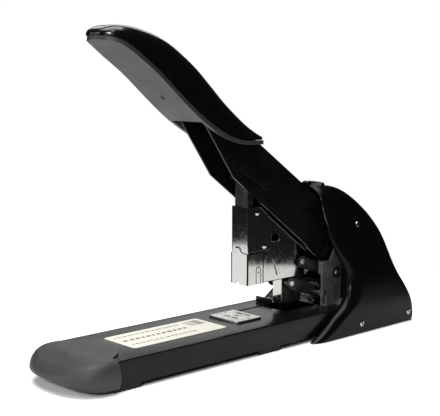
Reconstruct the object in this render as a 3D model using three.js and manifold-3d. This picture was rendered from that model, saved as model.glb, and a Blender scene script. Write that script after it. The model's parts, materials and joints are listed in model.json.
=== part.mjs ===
// A heavy-duty long-arm desktop stapler, in millimetres, +Z up.
// The nose points towards -X, the housing is at the +X end, and +Y is the user's left.
// Side outlines are drawn in (x, z) and extruded along y. Pieces that touch a moving
// neighbour keep a running gap, and the model stands with its feet on z = 0.
import * as THREE from 'three';
import { mergeVertices } from 'three/addons/utils/BufferGeometryUtils.js';
import Module from 'manifold-3d';

const wasm = await Module();
wasm.setup();

// ---------------------------------------------------------------- driving dimensions
const NOSE_X = -190;
const REAR_X = 188.5;
const GAP = 0.3; // between pieces that are fixed to each other
const HOLE_GAP = 0.15; // between a pin and the hole it sits in

const BASE = { half: 39.2, top: 23.6, bottom: 4, wall: 1.6, front: -160, rear: 184, lip: 10 };
const ANVIL = { x0: -12, x1: 17, half: 17.5, thick: 1.6 };
const LABEL = { x0: -121.6, x1: -25.2, half: 20, thick: 0.4 };

const HANDLE_PIVOT = { x: 118, z: 88, radius: 4 };
const LINK = { length: 38, rise: 20, width: 10, inner: 10.6, outer: 12.4 };
const LINK_RUN = LINK.length * Math.cos(THREE.MathUtils.degToRad(LINK.rise));
const LINK_CLIMB = LINK.length * Math.sin(THREE.MathUtils.degToRad(LINK.rise));
const UPPER_FRAME = { x: 108.7, z: 52 };
const LOWER_FRAME = { x: 95, z: 34 };
const UPPER_HEAD = { x: UPPER_FRAME.x - LINK_RUN, z: UPPER_FRAME.z + LINK_CLIMB };
const LOWER_HEAD = { x: LOWER_FRAME.x - LINK_RUN, z: LOWER_FRAME.z + LINK_CLIMB };
const LINK_PIN = 2.5;

const PRESS = 24; // degrees the handle turns, over which the links turn twice their rise
const DRIVER_STROKE = 21.5;
const DRIVER_PIN = { x: 12.7, z: 143, radius: 2.4 };

const FRAME_PLATE = { inner: 18, outer: 20 };
const ARM = { inner: 13.2, outer: 14.7 };
const HEAD_PLATE = { inner: 8.2, outer: 9.2 };
const HEAD_SLEEVE = { inner: 9.4, outer: 10.2 };
const SHELL_WALL = 2.4;

// ---------------------------------------------------------------- colours
const finish = (color, roughness, metalness) => ({ color, roughness, metalness });
const FINISHES = {
  blackSteel: finish(0x0c0c0d, 0.35, 0.4),
  housingPlastic: finish(0x060607, 0.3, 0),
  handleGloss: finish(0x050506, 0.15, 0),
  greyPlastic: finish(0x46474b, 0.6, 0),
  rubber: finish(0x1a1a1b, 0.85, 0),
  chrome: finish(0xc8c8c8, 0.12, 1),
  brushedSteel: finish(0xb4b3ae, 0.35, 1),
  darkSteel: finish(0x2a2a2c, 0.45, 0.8),
  paper: finish(0xf2f2ee, 0.8, 0),
};

// ---------------------------------------------------------------- solids and outlines
function toSolid(geometry) {
  const bare = geometry.clone();
  bare.deleteAttribute('normal');
  bare.deleteAttribute('uv');
  const merged = mergeVertices(bare, 1e-4);
  const vertProperties = new Float32Array(merged.attributes.position.array);
  const triVerts = new Uint32Array(merged.index.array);
  return new wasm.Manifold(new wasm.Mesh({ numProp: 3, vertProperties, triVerts }));
}

function toGeometry(solid) {
  const { vertProperties, triVerts } = solid.getMesh();
  const geometry = new THREE.BufferGeometry();
  geometry.setAttribute('position', new THREE.BufferAttribute(vertProperties, 3));
  geometry.setIndex(new THREE.BufferAttribute(triVerts, 1));
  return geometry;
}

// A closed outline whose corners are [a, b] or, rounded, [a, b, radius].
function outline(corners) {
  const shape = new THREE.Shape();
  corners.forEach(([a, b, radius = 0], i) => {
    const here = new THREE.Vector2(a, b);
    const before = new THREE.Vector2(...corners.at(i - 1).slice(0, 2)).sub(here).normalize();
    const after = new THREE.Vector2(...corners[(i + 1) % corners.length].slice(0, 2));
    after.sub(here).normalize();
    const turn = Math.tan(Math.acos(before.dot(after)) / 2);
    const start = here.clone().addScaledVector(before, radius / turn);
    const end = here.clone().addScaledVector(after, radius / turn);
    if (i === 0) shape.moveTo(start.x, start.y);
    else shape.lineTo(start.x, start.y);
    if (radius > 0) shape.quadraticCurveTo(here.x, here.y, end.x, end.y);
  });
  return shape;
}

const extrude = (shape, depth, curveSegments) =>
  new THREE.ExtrudeGeometry(shape, { depth, curveSegments, bevelEnabled: false });

const alongZ = (shape, z0, z1, curveSegments = 3) =>
  toSolid(extrude(shape, z1 - z0, curveSegments).translate(0, 0, z0));

const alongY = (shape, y0, y1, curveSegments = 3) =>
  toSolid(extrude(shape, y1 - y0, curveSegments).rotateX(Math.PI / 2).translate(0, y1, 0));

const SIDEWAYS = new THREE.Matrix4().set(0, 0, 1, 0, 1, 0, 0, 0, 0, 1, 0, 0, 0, 0, 0, 1);
const alongX = (shape, x0, x1, curveSegments = 3) =>
  toSolid(extrude(shape, x1 - x0, curveSegments).applyMatrix4(SIDEWAYS).translate(x0, 0, 0));

function box(x0, x1, y0, y1, z0, z1) {
  const geometry = new THREE.BoxGeometry(x1 - x0, y1 - y0, z1 - z0);
  return toSolid(geometry.translate((x0 + x1) / 2, (y0 + y1) / 2, (z0 + z1) / 2));
}

function rodY(x, z, radius, y0, y1, sides = 16) {
  const geometry = new THREE.CylinderGeometry(radius, radius, y1 - y0, sides);
  return toSolid(geometry.translate(x, (y0 + y1) / 2, z));
}

function rodZ(x, y, radius, z0, z1, sides = 16) {
  const geometry = new THREE.CylinderGeometry(radius, radius, z1 - z0, sides);
  return toSolid(geometry.rotateX(Math.PI / 2).translate(x, y, (z0 + z1) / 2));
}

// A bar with round ends between two points of a side outline.
function slotOutline(points, radius, steps = 6) {
  const shape = new THREE.Shape();
  const side = (list) => {
    const last = list.length - 1;
    list.forEach((point, i) => {
      const way = list[Math.min(i + 1, last)].clone().sub(list[Math.max(i - 1, 0)]).angle();
      const first = shape.curves.length === 0 && shape.currentPoint.lengthSq() === 0;
      const edge = new THREE.Vector2(Math.sin(way), -Math.cos(way)).multiplyScalar(radius);
      const at = point.clone().add(edge);
      if (first) shape.moveTo(at.x, at.y);
      else shape.lineTo(at.x, at.y);
      if (i === last) {
        for (let step = 1; step < steps; step += 1) {
          const angle = way - Math.PI / 2 + (step * Math.PI) / steps;
          shape.lineTo(point.x + radius * Math.cos(angle), point.y + radius * Math.sin(angle));
        }
      }
    });
  };
  side(points);
  side([...points].reverse());
  return shape;
}

// Joins closed rings of equal length; each ring runs anticlockwise about the way it travels.
function loft(rings) {
  const count = rings[0].length;
  const index = [];
  for (let ring = 0; ring < rings.length - 1; ring += 1) {
    for (let i = 0; i < count; i += 1) {
      const a = ring * count + i;
      const b = ring * count + ((i + 1) % count);
      index.push(a, b, b + count, a, b + count, a + count);
    }
  }
  const end = (rings.length - 1) * count;
  for (let i = 1; i < count - 1; i += 1) {
    index.push(0, i + 1, i, end, end + i, end + i + 1);
  }
  const geometry = new THREE.BufferGeometry();
  geometry.setAttribute('position', new THREE.Float32BufferAttribute(rings.flat(2), 3));
  geometry.setIndex(index);
  return toSolid(geometry);
}

// The value at x of a polyline given as [x, value] pairs in rising x.
function along(points, x) {
  const next = points.findIndex(([at]) => at >= x);
  if (next === 0) return points[0][1];
  if (next < 0) return points.at(-1)[1];
  const [[x0, v0], [x1, v1]] = [points[next - 1], points[next]];
  return v0 + ((v1 - v0) * (x - x0)) / (x1 - x0);
}

// The y range between two distances from the middle, on the side given by +1 or -1.
const reach = (side, inner, outer) => (side > 0 ? [inner, outer] : [-outer, -inner]);
const SIDES = [[1, 'left'], [-1, 'right']];

// ---------------------------------------------------------------- the scene graph
const group = new THREE.Group();
const model = new THREE.Group();
model.position.x = -(NOSE_X + REAR_X) / 2; // puts the origin under the middle of the box
group.add(model);

function addPart(name, solid, finishName) {
  const material = new THREE.MeshStandardMaterial(FINISHES[finishName]);
  const mesh = new THREE.Mesh(toGeometry(solid), material);
  mesh.name = name;
  model.add(mesh);
}

// ---------------------------------------------------------------- base
// The tongue of the nose cap, where it laps over the base's top, ends in an arc.
const CAP = { half: 43, join: -151.5, lobeEdge: -130.5, lobeRadius: 34.9, centre: -159, power: 2.3 };
// How far the cap's outline draws in at each height, as [z, inset].
const CAP_LEVELS = [[3.4, 5], [7, 1.5], [12, 0], [17, 1.2], [21, 4.5], [23.6, 9], [24.9, 17]];
const HEAD_WELL = { x0: 50, x1: 108, half: 13.2 };
const STOP_SLOT = { x0: 16, x1: 71, y: 16, width: 3 };

function baseChannel() {
  const { half, top, bottom, wall, front, rear, lip } = BASE;
  const section = outline([
    [-half, bottom], [-half + lip, bottom], [-half + lip, bottom + wall],
    [-half + wall, bottom + wall], [-half + wall, top - wall], [half - wall, top - wall],
    [half - wall, bottom + wall], [half - lip, bottom + wall], [half - lip, bottom],
    [half, bottom], [half, top, 1.2], [-half, top, 1.2],
  ]);
  const well = outline([
    [HEAD_WELL.x0, -HEAD_WELL.half, 3], [HEAD_WELL.x1, -HEAD_WELL.half, 8],
    [HEAD_WELL.x1, HEAD_WELL.half, 8], [HEAD_WELL.x0, HEAD_WELL.half, 3],
  ]);
  const low = top - wall - 1;
  let channel = alongX(section, front, rear)
    .subtract(alongZ(well, low, top + 1));
  const stops = [new THREE.Vector2(STOP_SLOT.x0, STOP_SLOT.y)];
  stops.push(new THREE.Vector2(STOP_SLOT.x1, STOP_SLOT.y));
  channel = channel.subtract(alongZ(slotOutline(stops, STOP_SLOT.width / 2), low, top + 1));
  for (const [x, y] of FRAME_BOLTS) {
    channel = channel.subtract(rodZ(x, y, FRAME_BOLT.shank + HOLE_GAP, low, top + 1, 12));
  }
  for (const { x, z } of BASE_SCREWS) {
    channel = channel.subtract(rodY(x, z, COVER_SCREW.shank + HOLE_GAP, -half - 1, half + 1, 12));
  }
  return channel;
}

// A blunt oval nose in plan, hollow from below, that the base's front end slides into.
function noseCap() {
  const { half, join, lobeEdge, lobeRadius, centre, power } = CAP;
  const block = (inset, levels) => loft(levels.map(([z, draw]) => {
    const [width, length] = [half - inset - draw * 0.5, centre - NOSE_X - inset - draw];
    const ring = [];
    for (let i = 0; i <= 16; i += 1) {
      const angle = (i * Math.PI) / 16;
      const [across, ahead] = [Math.cos(angle), Math.sin(angle)];
      const y = width * Math.sign(across) * Math.abs(across) ** (2 / power);
      ring.push([centre - length * ahead ** (2 / power), y, z]);
    }
    return [...ring, [lobeEdge, -width, z], [lobeEdge, width, z]];
  }));
  const inside = CAP_LEVELS.slice(0, 5).map(([z, draw], i) => [i === 0 ? z - 2 : z, draw]);
  const top = CAP_LEVELS.at(-1)[0] + 1;
  const lobe = rodZ(lobeEdge - lobeRadius, 0, lobeRadius, BASE.top, top, 48);
  const keep = box(NOSE_X - 1, join, -half - 1, half + 1, 0, top).add(lobe);
  const room = box(NOSE_X, BASE.front - 2, -half, half, 0, 30);
  const channelRoom = box(BASE.front - GAP, 0, -BASE.half - GAP, BASE.half + GAP, 0, BASE.top);
  return block(0, CAP_LEVELS).intersect(keep)
    .subtract(block(2.2, inside).intersect(room))
    .subtract(channelRoom);
}

const FOOT = { length: 24.5, inner: 30, outer: 38.4, height: 4 };
const FEET = [[-142.5, 'front'], [6, 'middle'], [158, 'rear']];

function foot(x, side) {
  const [y0, y1] = reach(side, FOOT.inner, FOOT.outer);
  let pad = box(x - FOOT.length / 2, x + FOOT.length / 2, y0, y1, 0, FOOT.height);
  for (const step of [-2, -1, 0, 1, 2]) {
    const groove = x + step * 4.6;
    pad = pad.subtract(box(groove - 0.7, groove + 0.7, y0 - 1, y1 + 1, -1, 1.2));
  }
  return pad;
}

function label() {
  const { x0, x1, half, thick } = LABEL;
  const sheet = outline([[x0, -half, 3], [x1, -half, 3], [x1, half, 3], [x0, half, 3]]);
  return alongZ(sheet, BASE.top, BASE.top + thick);
}

function anvilPlate() {
  const { x0, x1, half, thick } = ANVIL;
  const top = BASE.top + thick;
  const plate = outline([[x0, -half, 1], [x1, -half, 1], [x1, half, 1], [x0, half, 1]]);
  let anvil = alongZ(plate, BASE.top, top);
  for (const side of [-1, 1]) {
    const [y0, y1] = reach(side, 1, 8);
    anvil = anvil.subtract(box(10.6, 12.8, y0, y1, top - 0.7, top + 1));
    anvil = anvil.subtract(box(-3.6, -1.4, y0, y1, top - 0.7, top + 1));
  }
  return anvil;
}

// ---------------------------------------------------------------- depth stop
const STOP = { x0: 60, x1: 69.5, y0: 13.6, y1: 33, height: 5 };

function depthStop() {
  const { x0, x1, y0, y1, height } = STOP;
  const side = outline([
    [x0, BASE.top + GAP], [x1, BASE.top + GAP], [x1, BASE.top + 1.8], [x0 + 1.6, BASE.top + 1.8],
    [x0 + 1.6, BASE.top + height], [x0, BASE.top + height],
  ]);
  const neck = STOP_SLOT.width / 2 - GAP;
  const under = BASE.top - BASE.wall;
  return alongY(side, y0, y1)
    .add(box(x0, x1, STOP_SLOT.y - neck, STOP_SLOT.y + neck, under - 2, BASE.top + 1))
    .add(box(x0, x1, y0, STOP_SLOT.y + 3.6, under - 2.4, under - GAP))
    .subtract(rodZ(STOP_SCREW.x, STOP_SCREW.y, STOP_SCREW.shank + HOLE_GAP, 0, 50, 12));
}

const STOP_SCREW = { x: 65.8, y: 26, shank: 1.5, head: 3, rise: 1.6 };

function depthStopScrew() {
  const seat = BASE.top + 1.8;
  return rodZ(STOP_SCREW.x, STOP_SCREW.y, STOP_SCREW.head, seat, seat + STOP_SCREW.rise, 16)
    .add(rodZ(STOP_SCREW.x, STOP_SCREW.y, STOP_SCREW.shank, BASE.top + GAP, seat, 12));
}

// ---------------------------------------------------------------- frame
const FRAME_FOOT = { x0: 104, x1: 149, outer: 31, thick: 2 };
const FRAME_CLIP = { x0: 92, x1: 102.5, outer: 24.2, wall: 1.2, top: 32.5 };
const FRAME_BOLT = { shank: 2, head: 3.6, rise: 2.6 };
const FRAME_BOLTS = [[112, 26], [141, 26], [112, -26], [141, -26]];

function frameSide(side) {
  const { inner, outer } = FRAME_PLATE;
  const post = outline([
    [91, BASE.top], [91, 63.5, 3], [102, 63.5, 3], [108, 74, 4], [108, 99, 6], [128, 103, 8],
    [140, 92, 8], [150, 50, 8], [150, BASE.top],
  ]);
  const [y0, y1] = reach(side, inner, outer);
  const [foot0, foot1] = reach(side, inner, FRAME_FOOT.outer);
  const [flange0, flange1] = reach(side, ARM.outer + 0.5, inner + 1);
  const { x0, x1, wall, top } = FRAME_CLIP;
  const [clip0, clip1] = reach(side, inner, FRAME_CLIP.outer);
  const [lip0, lip1] = reach(side, FRAME_CLIP.outer - wall, FRAME_CLIP.outer);
  let plate = alongY(post, y0, y1)
    .add(box(FRAME_FOOT.x0, FRAME_FOOT.x1, foot0, foot1, BASE.top, BASE.top + FRAME_FOOT.thick))
    .add(box(91, 92.6, flange0, flange1, 52, 63.5))
    .add(box(x0, x1, clip0, clip1, BASE.top, BASE.top + wall))
    .add(box(x0, x1, lip0, lip1, BASE.top, top));
  for (const [pin, radius] of [[HANDLE_PIVOT, HANDLE_PIVOT.radius], [UPPER_FRAME, LINK_PIN],
    [LOWER_FRAME, LINK_PIN], [TOP_SCREW, COVER_SCREW.shank]]) {
    plate = plate.subtract(rodY(pin.x, pin.z, radius + HOLE_GAP, y0 - 1, y1 + 1));
  }
  for (const [x, y] of FRAME_BOLTS) {
    plate = plate.subtract(rodZ(x, y, FRAME_BOLT.shank + HOLE_GAP, 20, 30, 12));
  }
  return plate;
}

function frameBolt(x, y) {
  const seat = BASE.top + FRAME_FOOT.thick;
  return rodZ(x, y, FRAME_BOLT.head, seat, seat + FRAME_BOLT.rise, 6)
    .add(rodZ(x, y, FRAME_BOLT.shank, BASE.top - BASE.wall - 3, seat, 12));
}

// A shaft across both frame plates, with a head on the left and a clip groove on the right.
const SHAFT_END = 22.6;
const CLIP = { y0: -21.6, y1: -20.6, depth: 0.8 };

function shaft(pin, radius) {
  const groove = rodY(pin.x, pin.z, radius + 1, CLIP.y0, CLIP.y1)
    .subtract(rodY(pin.x, pin.z, radius - CLIP.depth, CLIP.y0 - 1, CLIP.y1 + 1));
  return rodY(pin.x, pin.z, radius, -SHAFT_END, FRAME_PLATE.outer + 0.5)
    .add(rodY(pin.x, pin.z, radius + 1.4, FRAME_PLATE.outer + 0.2, SHAFT_END))
    .subtract(groove);
}

// A shaft whose ends are peened level with the frame plates.
const flushShaft = ({ x, z }, radius) =>
  rodY(x, z, radius, 0.1 - FRAME_PLATE.outer, FRAME_PLATE.outer - 0.1);

function shaftClip(pin, radius) {
  const bore = radius - CLIP.depth + HOLE_GAP;
  return rodY(pin.x, pin.z, radius + 2.2, CLIP.y0 + 0.1, CLIP.y1 - 0.1)
    .subtract(rodY(pin.x, pin.z, bore, CLIP.y0 - 1, CLIP.y1 + 1))
    .subtract(box(pin.x + 0.5, pin.x + 9, CLIP.y0 - 1, CLIP.y1 + 1, pin.z - bore, pin.z + bore));
}

// ---------------------------------------------------------------- springs
function coilRing(x, z, inner, outer, y0, y1, turns, sides) {
  const pitch = (y1 - y0) / turns;
  let ring = rodY(x, z, outer, y0, y1, sides);
  for (let turn = 1; turn < turns; turn += 1) {
    const y = y0 + turn * pitch;
    ring = ring.subtract(rodY(x, z, outer + 1, y - 0.25, y + 0.25, sides)
      .subtract(rodY(x, z, outer - 1, y - 1, y + 1, sides)));
  }
  return ring.subtract(rodY(x, z, inner, y0 - 1, y1 + 1, sides));
}

function wire(points, radius, steps) {
  const path = new THREE.CatmullRomCurve3(points.map((point) => new THREE.Vector3(...point)));
  const section = new THREE.Shape();
  section.absarc(0, 0, radius, 0, Math.PI * 2);
  const options = { steps, curveSegments: 3, bevelEnabled: false, extrudePath: path };
  return toSolid(new THREE.ExtrudeGeometry(section, options));
}

// Wound round the lower shaft, with a leg that pushes up under the carrier's pin.
const RETURN_COIL = { inner: 8.9, outer: 11.3, half: 7.5 };

function returnSpring() {
  const { x, z } = LOWER_FRAME;
  const { inner, outer, half } = RETURN_COIL;
  const leg = wire([
    [x - 1, 6.4, z - 10.3], [x - 9, 6.8, z - 6.5], [x - 20, 6.9, z + 1.5],
    [LOWER_HEAD.x + 1.7, 6.9, LOWER_HEAD.z - 3.6],
  ], 0.9, 8);
  return coilRing(x, z, inner, outer, -half, half, 4, 18).add(leg);
}

const LIFT_COIL = { inner: 2.9, outer: 5.6, y0: 15.1, y1: 17.8 };

function liftSpring(side) {
  const [y0, y1] = reach(side, LIFT_COIL.y0, LIFT_COIL.y1);
  const { x, z } = UPPER_FRAME;
  const leg = wire([
    [x - 1, side * 15.8, z + 4.6], [x - 5, side * 15, z + 5.6], [x - 9, side * 13.5, z + 8.5],
    [x - 13, side * 11.8, z + 13], [x - 20, side * 11.5, z + 18],
    [x - 31.5, side * 11.5, z + 26.6],
  ], 0.7, 10);
  return coilRing(x, z, LIFT_COIL.inner, LIFT_COIL.outer, y0, y1, 2, 14).add(leg);
}

function handleSpring() {
  const { x, z, radius } = HANDLE_PIVOT;
  const leg = wire([
    [x, 6.5, z + 6.6], [x - 8, 6.5, z + 8.2], [x - 16, 6.5, z + 14.5], [x - 24, 6.5, z + 20.5],
  ], 0.8, 8);
  const tail = wire([[x + 1, -6.5, z - 6.4], [x + 8, -6.5, z - 8], [x + 14, -6.5, z - 9]], 0.8, 5);
  return coilRing(x, z, radius + GAP, radius + 3.4, -7.5, 7.5, 5, 12).add(leg).add(tail);
}

// ---------------------------------------------------------------- handle
// Where the driver pin lies in the arm's own frame when the handle has turned by `turn`.
function pinInArm(turn) {
  const press = THREE.MathUtils.degToRad(turn);
  const rise = THREE.MathUtils.degToRad(LINK.rise);
  const tilt = rise * (1 - (2 * turn) / PRESS);
  const x = DRIVER_PIN.x - LINK.length * (Math.cos(tilt) - Math.cos(rise)) - HANDLE_PIVOT.x;
  const drop = LINK.length * (Math.sin(rise) - Math.sin(tilt)) + (DRIVER_STROKE * turn) / PRESS;
  const at = new THREE.Vector2(x, DRIVER_PIN.z - drop - HANDLE_PIVOT.z);
  return at.rotateAround(new THREE.Vector2(), -press)
    .add(new THREE.Vector2(HANDLE_PIVOT.x, HANDLE_PIVOT.z));
}

const CAM_START = new THREE.Vector2(-3, 155.2);
const CAM_STEPS = 9;

function camSlot() {
  const centres = [CAM_START];
  for (let step = 0; step <= CAM_STEPS; step += 1) {
    centres.push(pinInArm((step * PRESS) / CAM_STEPS));
  }
  return slotOutline(centres, DRIVER_PIN.radius + 0.5);
}

// The underside of the grip and the crest of the top shell, as [x, z].
const UNDERSIDE = [
  [-142.5, 254.6], [-136, 253.6], [-128, 250.5], [-110, 238.5], [-97.5, 229.6], [-85, 219.2],
  [-72.5, 208.6], [-60, 198.6], [-51.5, 192.4], [-38, 184], [-28, 179], [-17, 175],
  [-4, 172.6], [14, 172.2],
];
const CREST = [
  [-142.5, 259.4], [-139, 262.4], [-134, 264.6], [-128.3, 265.7], [-114.5, 265.2],
  [-102.8, 262.9], [-90.8, 259.3], [-78.5, 253.8], [-66, 246], [-53, 236.5], [-40, 224.5],
  [-26.4, 211.3], [-12.4, 199], [2, 187.5], [17, 177.5],
];
const GRIP_HALF = [
  [-142.5, 3], [-141, 8.5], [-137.5, 13.6], [-132.5, 17.8], [-126, 20.7], [-116, 22],
];
const TRAY = { half: 20.5, thick: 3.6, end: -51.5, rimInner: 18 };

function armOutline() {
  return outline([
    [-45, 191.2], [-13.2, 145.7, 4], [99, 62.6, 2], [112, 57.6, 4], [124, 64.5, 6],
    [134, 84, 8], [130, 98, 8], [100, 113.9, 10], [81.8, 126.7, 4], [19, 170.3, 4],
    [-30, 204.2, 3],
  ]);
}

// The strap that carries the arm's web forward inside the grip.
function strapOutline() {
  const rise = TRAY.thick + 1;
  const below = UNDERSIDE.filter(([x]) => x > -130 && x < -40).map(([x, z]) => [x, z + rise]);
  const above = below.map(([x, z]) => [x, z + 3.5]).reverse();
  const root = [[-28, 195], [-28, 202]];
  return outline([...below, ...root, ...above]);
}

function handleArm() {
  const { inner, outer } = ARM;
  const profile = armOutline();
  const web = outline([
    [-60, 220], [-60, 200], [-44.6, 192.6], [-31, 201.8], [18.6, 168.3], [80.8, 125.1],
    [99.2, 112.2], [129, 96.6], [150, 80], [150, 130],
  ]);
  let arm = alongY(profile, -outer, outer)
    .subtract(alongY(profile, -inner, inner).subtract(alongY(web, -inner, inner)))
    .add(alongY(strapOutline(), -10, 10));
  const { x, z, radius } = HANDLE_PIVOT;
  arm = arm.subtract(rodY(x, z, radius + HOLE_GAP, -outer - 1, outer + 1));
  arm = arm.subtract(alongY(camSlot(), -outer - 1, outer + 1));
  return arm.subtract(gripScrewRod(HANDLE_SCREW.shank + GAP, -1, 20));
}

// The grip's screw stands square to the underside.
const HANDLE_SCREW = { x: -75.6, shank: 1.8, head: 3.4 };

function gripScrewRod(radius, from, to) {
  const z = along(UNDERSIDE, HANDLE_SCREW.x);
  const slope = Math.atan2(along(UNDERSIDE, HANDLE_SCREW.x + 1) - z, 1);
  const geometry = new THREE.CylinderGeometry(radius, radius, to - from, 12);
  geometry.rotateX(Math.PI / 2).translate(0, 0, (from + to) / 2).rotateY(-slope);
  return toSolid(geometry.translate(HANDLE_SCREW.x, 0, z));
}

function handleScrew() {
  const head = gripScrewRod(HANDLE_SCREW.head, 0.8, 2.2);
  return head.add(gripScrewRod(HANDLE_SCREW.shank, 1.5, 12));
}

function gripPlan(inset, x0, x1) {
  const half = (x) => along(GRIP_HALF, x) - inset;
  const xs = GRIP_HALF.map(([x]) => x).filter((x) => x > x0);
  const near = [x0, ...xs, x1].map((x) => [x, -half(x)]);
  return outline([...near, ...near.map(([x, y]) => [x, -y]).reverse()]);
}

function gripTray() {
  const { half, thick, end, rimInner } = TRAY;
  const below = UNDERSIDE.map(([x, z]) => [x, z]);
  const strip = outline([...below, ...below.map(([x, z]) => [x, z + thick]).reverse()]);
  const plan = gripPlan(0.6, -142.5, 20);
  const recess = gripScrewRod(HANDLE_SCREW.head + 0.6, -3, 2.2 + GAP);
  const shank = gripScrewRod(HANDLE_SCREW.shank + GAP, -3, 12);
  return alongY(strip, -half - 2, half + 2).intersect(alongZ(plan, 150, 270))
    .subtract(box(end, 30, -rimInner, rimInner, 150, 220))
    .subtract(recess).subtract(shank);
}

const CROWN_POINTS = 10;

function gripSection(x, inset) {
  const half = along(GRIP_HALF, x) - inset;
  const low = along(UNDERSIDE, x) + TRAY.thick + 2 * GAP - 4 * inset;
  const high = along(CREST, x) - 1.3 * inset;
  const ring = [];
  for (let i = 0; i <= CROWN_POINTS; i += 1) {
    const angle = (i * Math.PI) / CROWN_POINTS;
    const across = Math.sign(Math.cos(angle)) * Math.abs(Math.cos(angle)) ** 0.55;
    ring.push([x, half * across, low + (high - low) * Math.sin(angle) ** 0.7]);
  }
  return ring;
}

function handleTopShell() {
  const stations = CREST.map(([x]) => x);
  const outer = loft(stations.map((x) => gripSection(x, 0)));
  const inner = loft(stations.filter((x) => x > -136).map((x) => gripSection(x, 2.2)));
  const boss = gripScrewRod(4.5, TRAY.thick + 6, 40).intersect(outer);
  const hole = gripScrewRod(HANDLE_SCREW.shank + GAP, 0, 13);
  const front = outline([[10, 150], [40, 150], [40, 200], [19, 200], [13, 181]]);
  return outer.subtract(inner).add(boss).subtract(hole).subtract(alongY(front, -30, 30));
}

// ---------------------------------------------------------------- links
function linkBar(headEnd, frameEnd, side) {
  const centres = [new THREE.Vector2(headEnd.x, headEnd.z), new THREE.Vector2(frameEnd.x, frameEnd.z)];
  const [y0, y1] = reach(side, LINK.inner, LINK.outer);
  return alongY(slotOutline(centres, LINK.width / 2), y0, y1)
    .subtract(rodY(headEnd.x, headEnd.z, LINK_PIN + HOLE_GAP, y0 - 1, y1 + 1))
    .subtract(rodY(frameEnd.x, frameEnd.z, LINK_PIN + HOLE_GAP, y0 - 1, y1 + 1));
}

const linkPin = ({ x, z }) => rodY(x, z, LINK_PIN, -LINK.outer - 0.5, LINK.outer + 0.5);

// ---------------------------------------------------------------- head
const HEAD_LOW = 52;
const HEAD_RIVETS = [{ x: 18.6, z: 113.7, name: 'upper' }, { x: 27.3, z: 84.1, name: 'lower' }];
const HEAD_RIVET = { shank: 1.4, dome: 2.7 };
const SLEEVE = { front: 7.8, rear: 31.3, low: 80.2, top: 118.7 };
const DRAWER = { front: 7, rear: 25.5, low: 51.6, top: 78.4, railRear: 70, railInner: 7, railOuter: 7.9 };

function headPlate(side) {
  const [y0, y1] = reach(side, HEAD_PLATE.inner, HEAD_PLATE.outer);
  const profile = outline([
    [9.2, HEAD_LOW], [9.2, 118.2], [22.8, 118.2, 3], [32.2, 110.1, 2], [79.1, 77.4, 6],
    [87.5, 64, 9], [82.6, HEAD_LOW, 5],
  ]);
  const gauge = [new THREE.Vector2(38.2, 72.1), new THREE.Vector2(43.6, 57.2)];
  let plate = alongY(profile, y0, y1)
    .subtract(box(36.5, 46.1, y0 - 1, y1 + 1, 86.6, 93))
    .subtract(alongY(slotOutline(gauge, 0.9), y0 - 1, y1 + 1))
    .subtract(rodY(UPPER_HEAD.x, UPPER_HEAD.z, LINK_PIN + HOLE_GAP, y0 - 1, y1 + 1));
  for (const { x, z } of HEAD_RIVETS) {
    plate = plate.subtract(rodY(x, z, HEAD_RIVET.shank + HOLE_GAP, y0 - 1, y1 + 1, 12));
  }
  return plate;
}

// A sheet wrapped round the front: its plan is a U that opens to the rear.
function wrap(front, rear, wall, z0, z1) {
  const { inner, outer } = HEAD_SLEEVE;
  const plan = outline([
    [front, -outer, 1.5], [rear, -outer], [rear, -inner], [front + wall, -inner, 0.8],
    [front + wall, inner, 0.8], [rear, inner], [rear, outer], [front, outer, 1.5],
  ]);
  return alongZ(plan, z0, z1);
}

// The parting edge between the head's two sheets: flat, a hump, then a shallow valley.
const PARTING = [[-11, 78.9], [-7, 78.9], [-1.5, 80], [0.5, 83.4], [5, 83.4], [7, 80.4], [11, 80.4]];

function partingBlock(gap, z1) {
  const edge = PARTING.map(([y, z]) => [y, z + gap]);
  return alongX(outline([...edge, [11, z1], [-11, z1]]), 0, 9);
}

function headSleeve() {
  const { front, rear, low, top } = SLEEVE;
  let sleeve = wrap(front, rear, 1, low, top)
    .add(wrap(front, rear, 1, low - 3, low).intersect(box(0, 9, -11, 11, 70, 90)));
  sleeve = sleeve.intersect(partingBlock(GAP, 130).add(box(9, 40, -11, 11, low, 130)));
  for (const { x, z } of HEAD_RIVETS) {
    sleeve = sleeve.subtract(rodY(x, z, HEAD_RIVET.shank + HOLE_GAP, -12, 12, 12));
  }
  return sleeve;
}

// A rivet right across the head, with a stepped dome outside each cheek of the sleeve.
function headRivet({ x, z }) {
  const { shank, dome } = HEAD_RIVET;
  const face = HEAD_SLEEVE.outer;
  let rivet = rodY(x, z, shank, -face - 0.4, face + 0.4, 12);
  for (const [side] of SIDES) {
    rivet = rivet.add(rodY(x, z, dome, ...reach(side, face, face + 0.5), 12));
    rivet = rivet.add(rodY(x, z, dome * 0.7, ...reach(side, face + 0.5, face + 1.1), 12));
  }
  return rivet;
}

function magazineDrawer() {
  const { front, rear, low, top, railRear, railInner, railOuter } = DRAWER;
  const hump = box(0, front + 1.2, -11, 11, top - 1, 84).subtract(partingBlock(0, 90));
  let nose = wrap(front, rear, 1.2, low, 84).intersect(box(0, 40, -11, 11, low, top).add(hump));
  const arch = alongX(slotOutline([new THREE.Vector2(2.5, low), new THREE.Vector2(2.5, low + 1)], 2),
    0, 9);
  nose = nose.subtract(arch);
  for (const side of [-1, 1]) {
    const [y0, y1] = reach(side, railInner, railOuter);
    nose = nose.add(box(front + 0.4, railRear, y0, y1, 53, 70));
  }
  return nose;
}

function magazineCore() {
  const walls = outline([[-5.8, 54], [-4.8, 54], [-4.8, 65], [4.8, 65], [4.8, 54], [5.8, 54],
    [5.8, 66, 0.8], [-5.8, 66, 0.8]]);
  return alongX(walls, 13.6, 76).subtract(rodY(UPPER_HEAD.x, UPPER_HEAD.z, LINK_PIN + 0.5, -8, 8));
}

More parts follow.
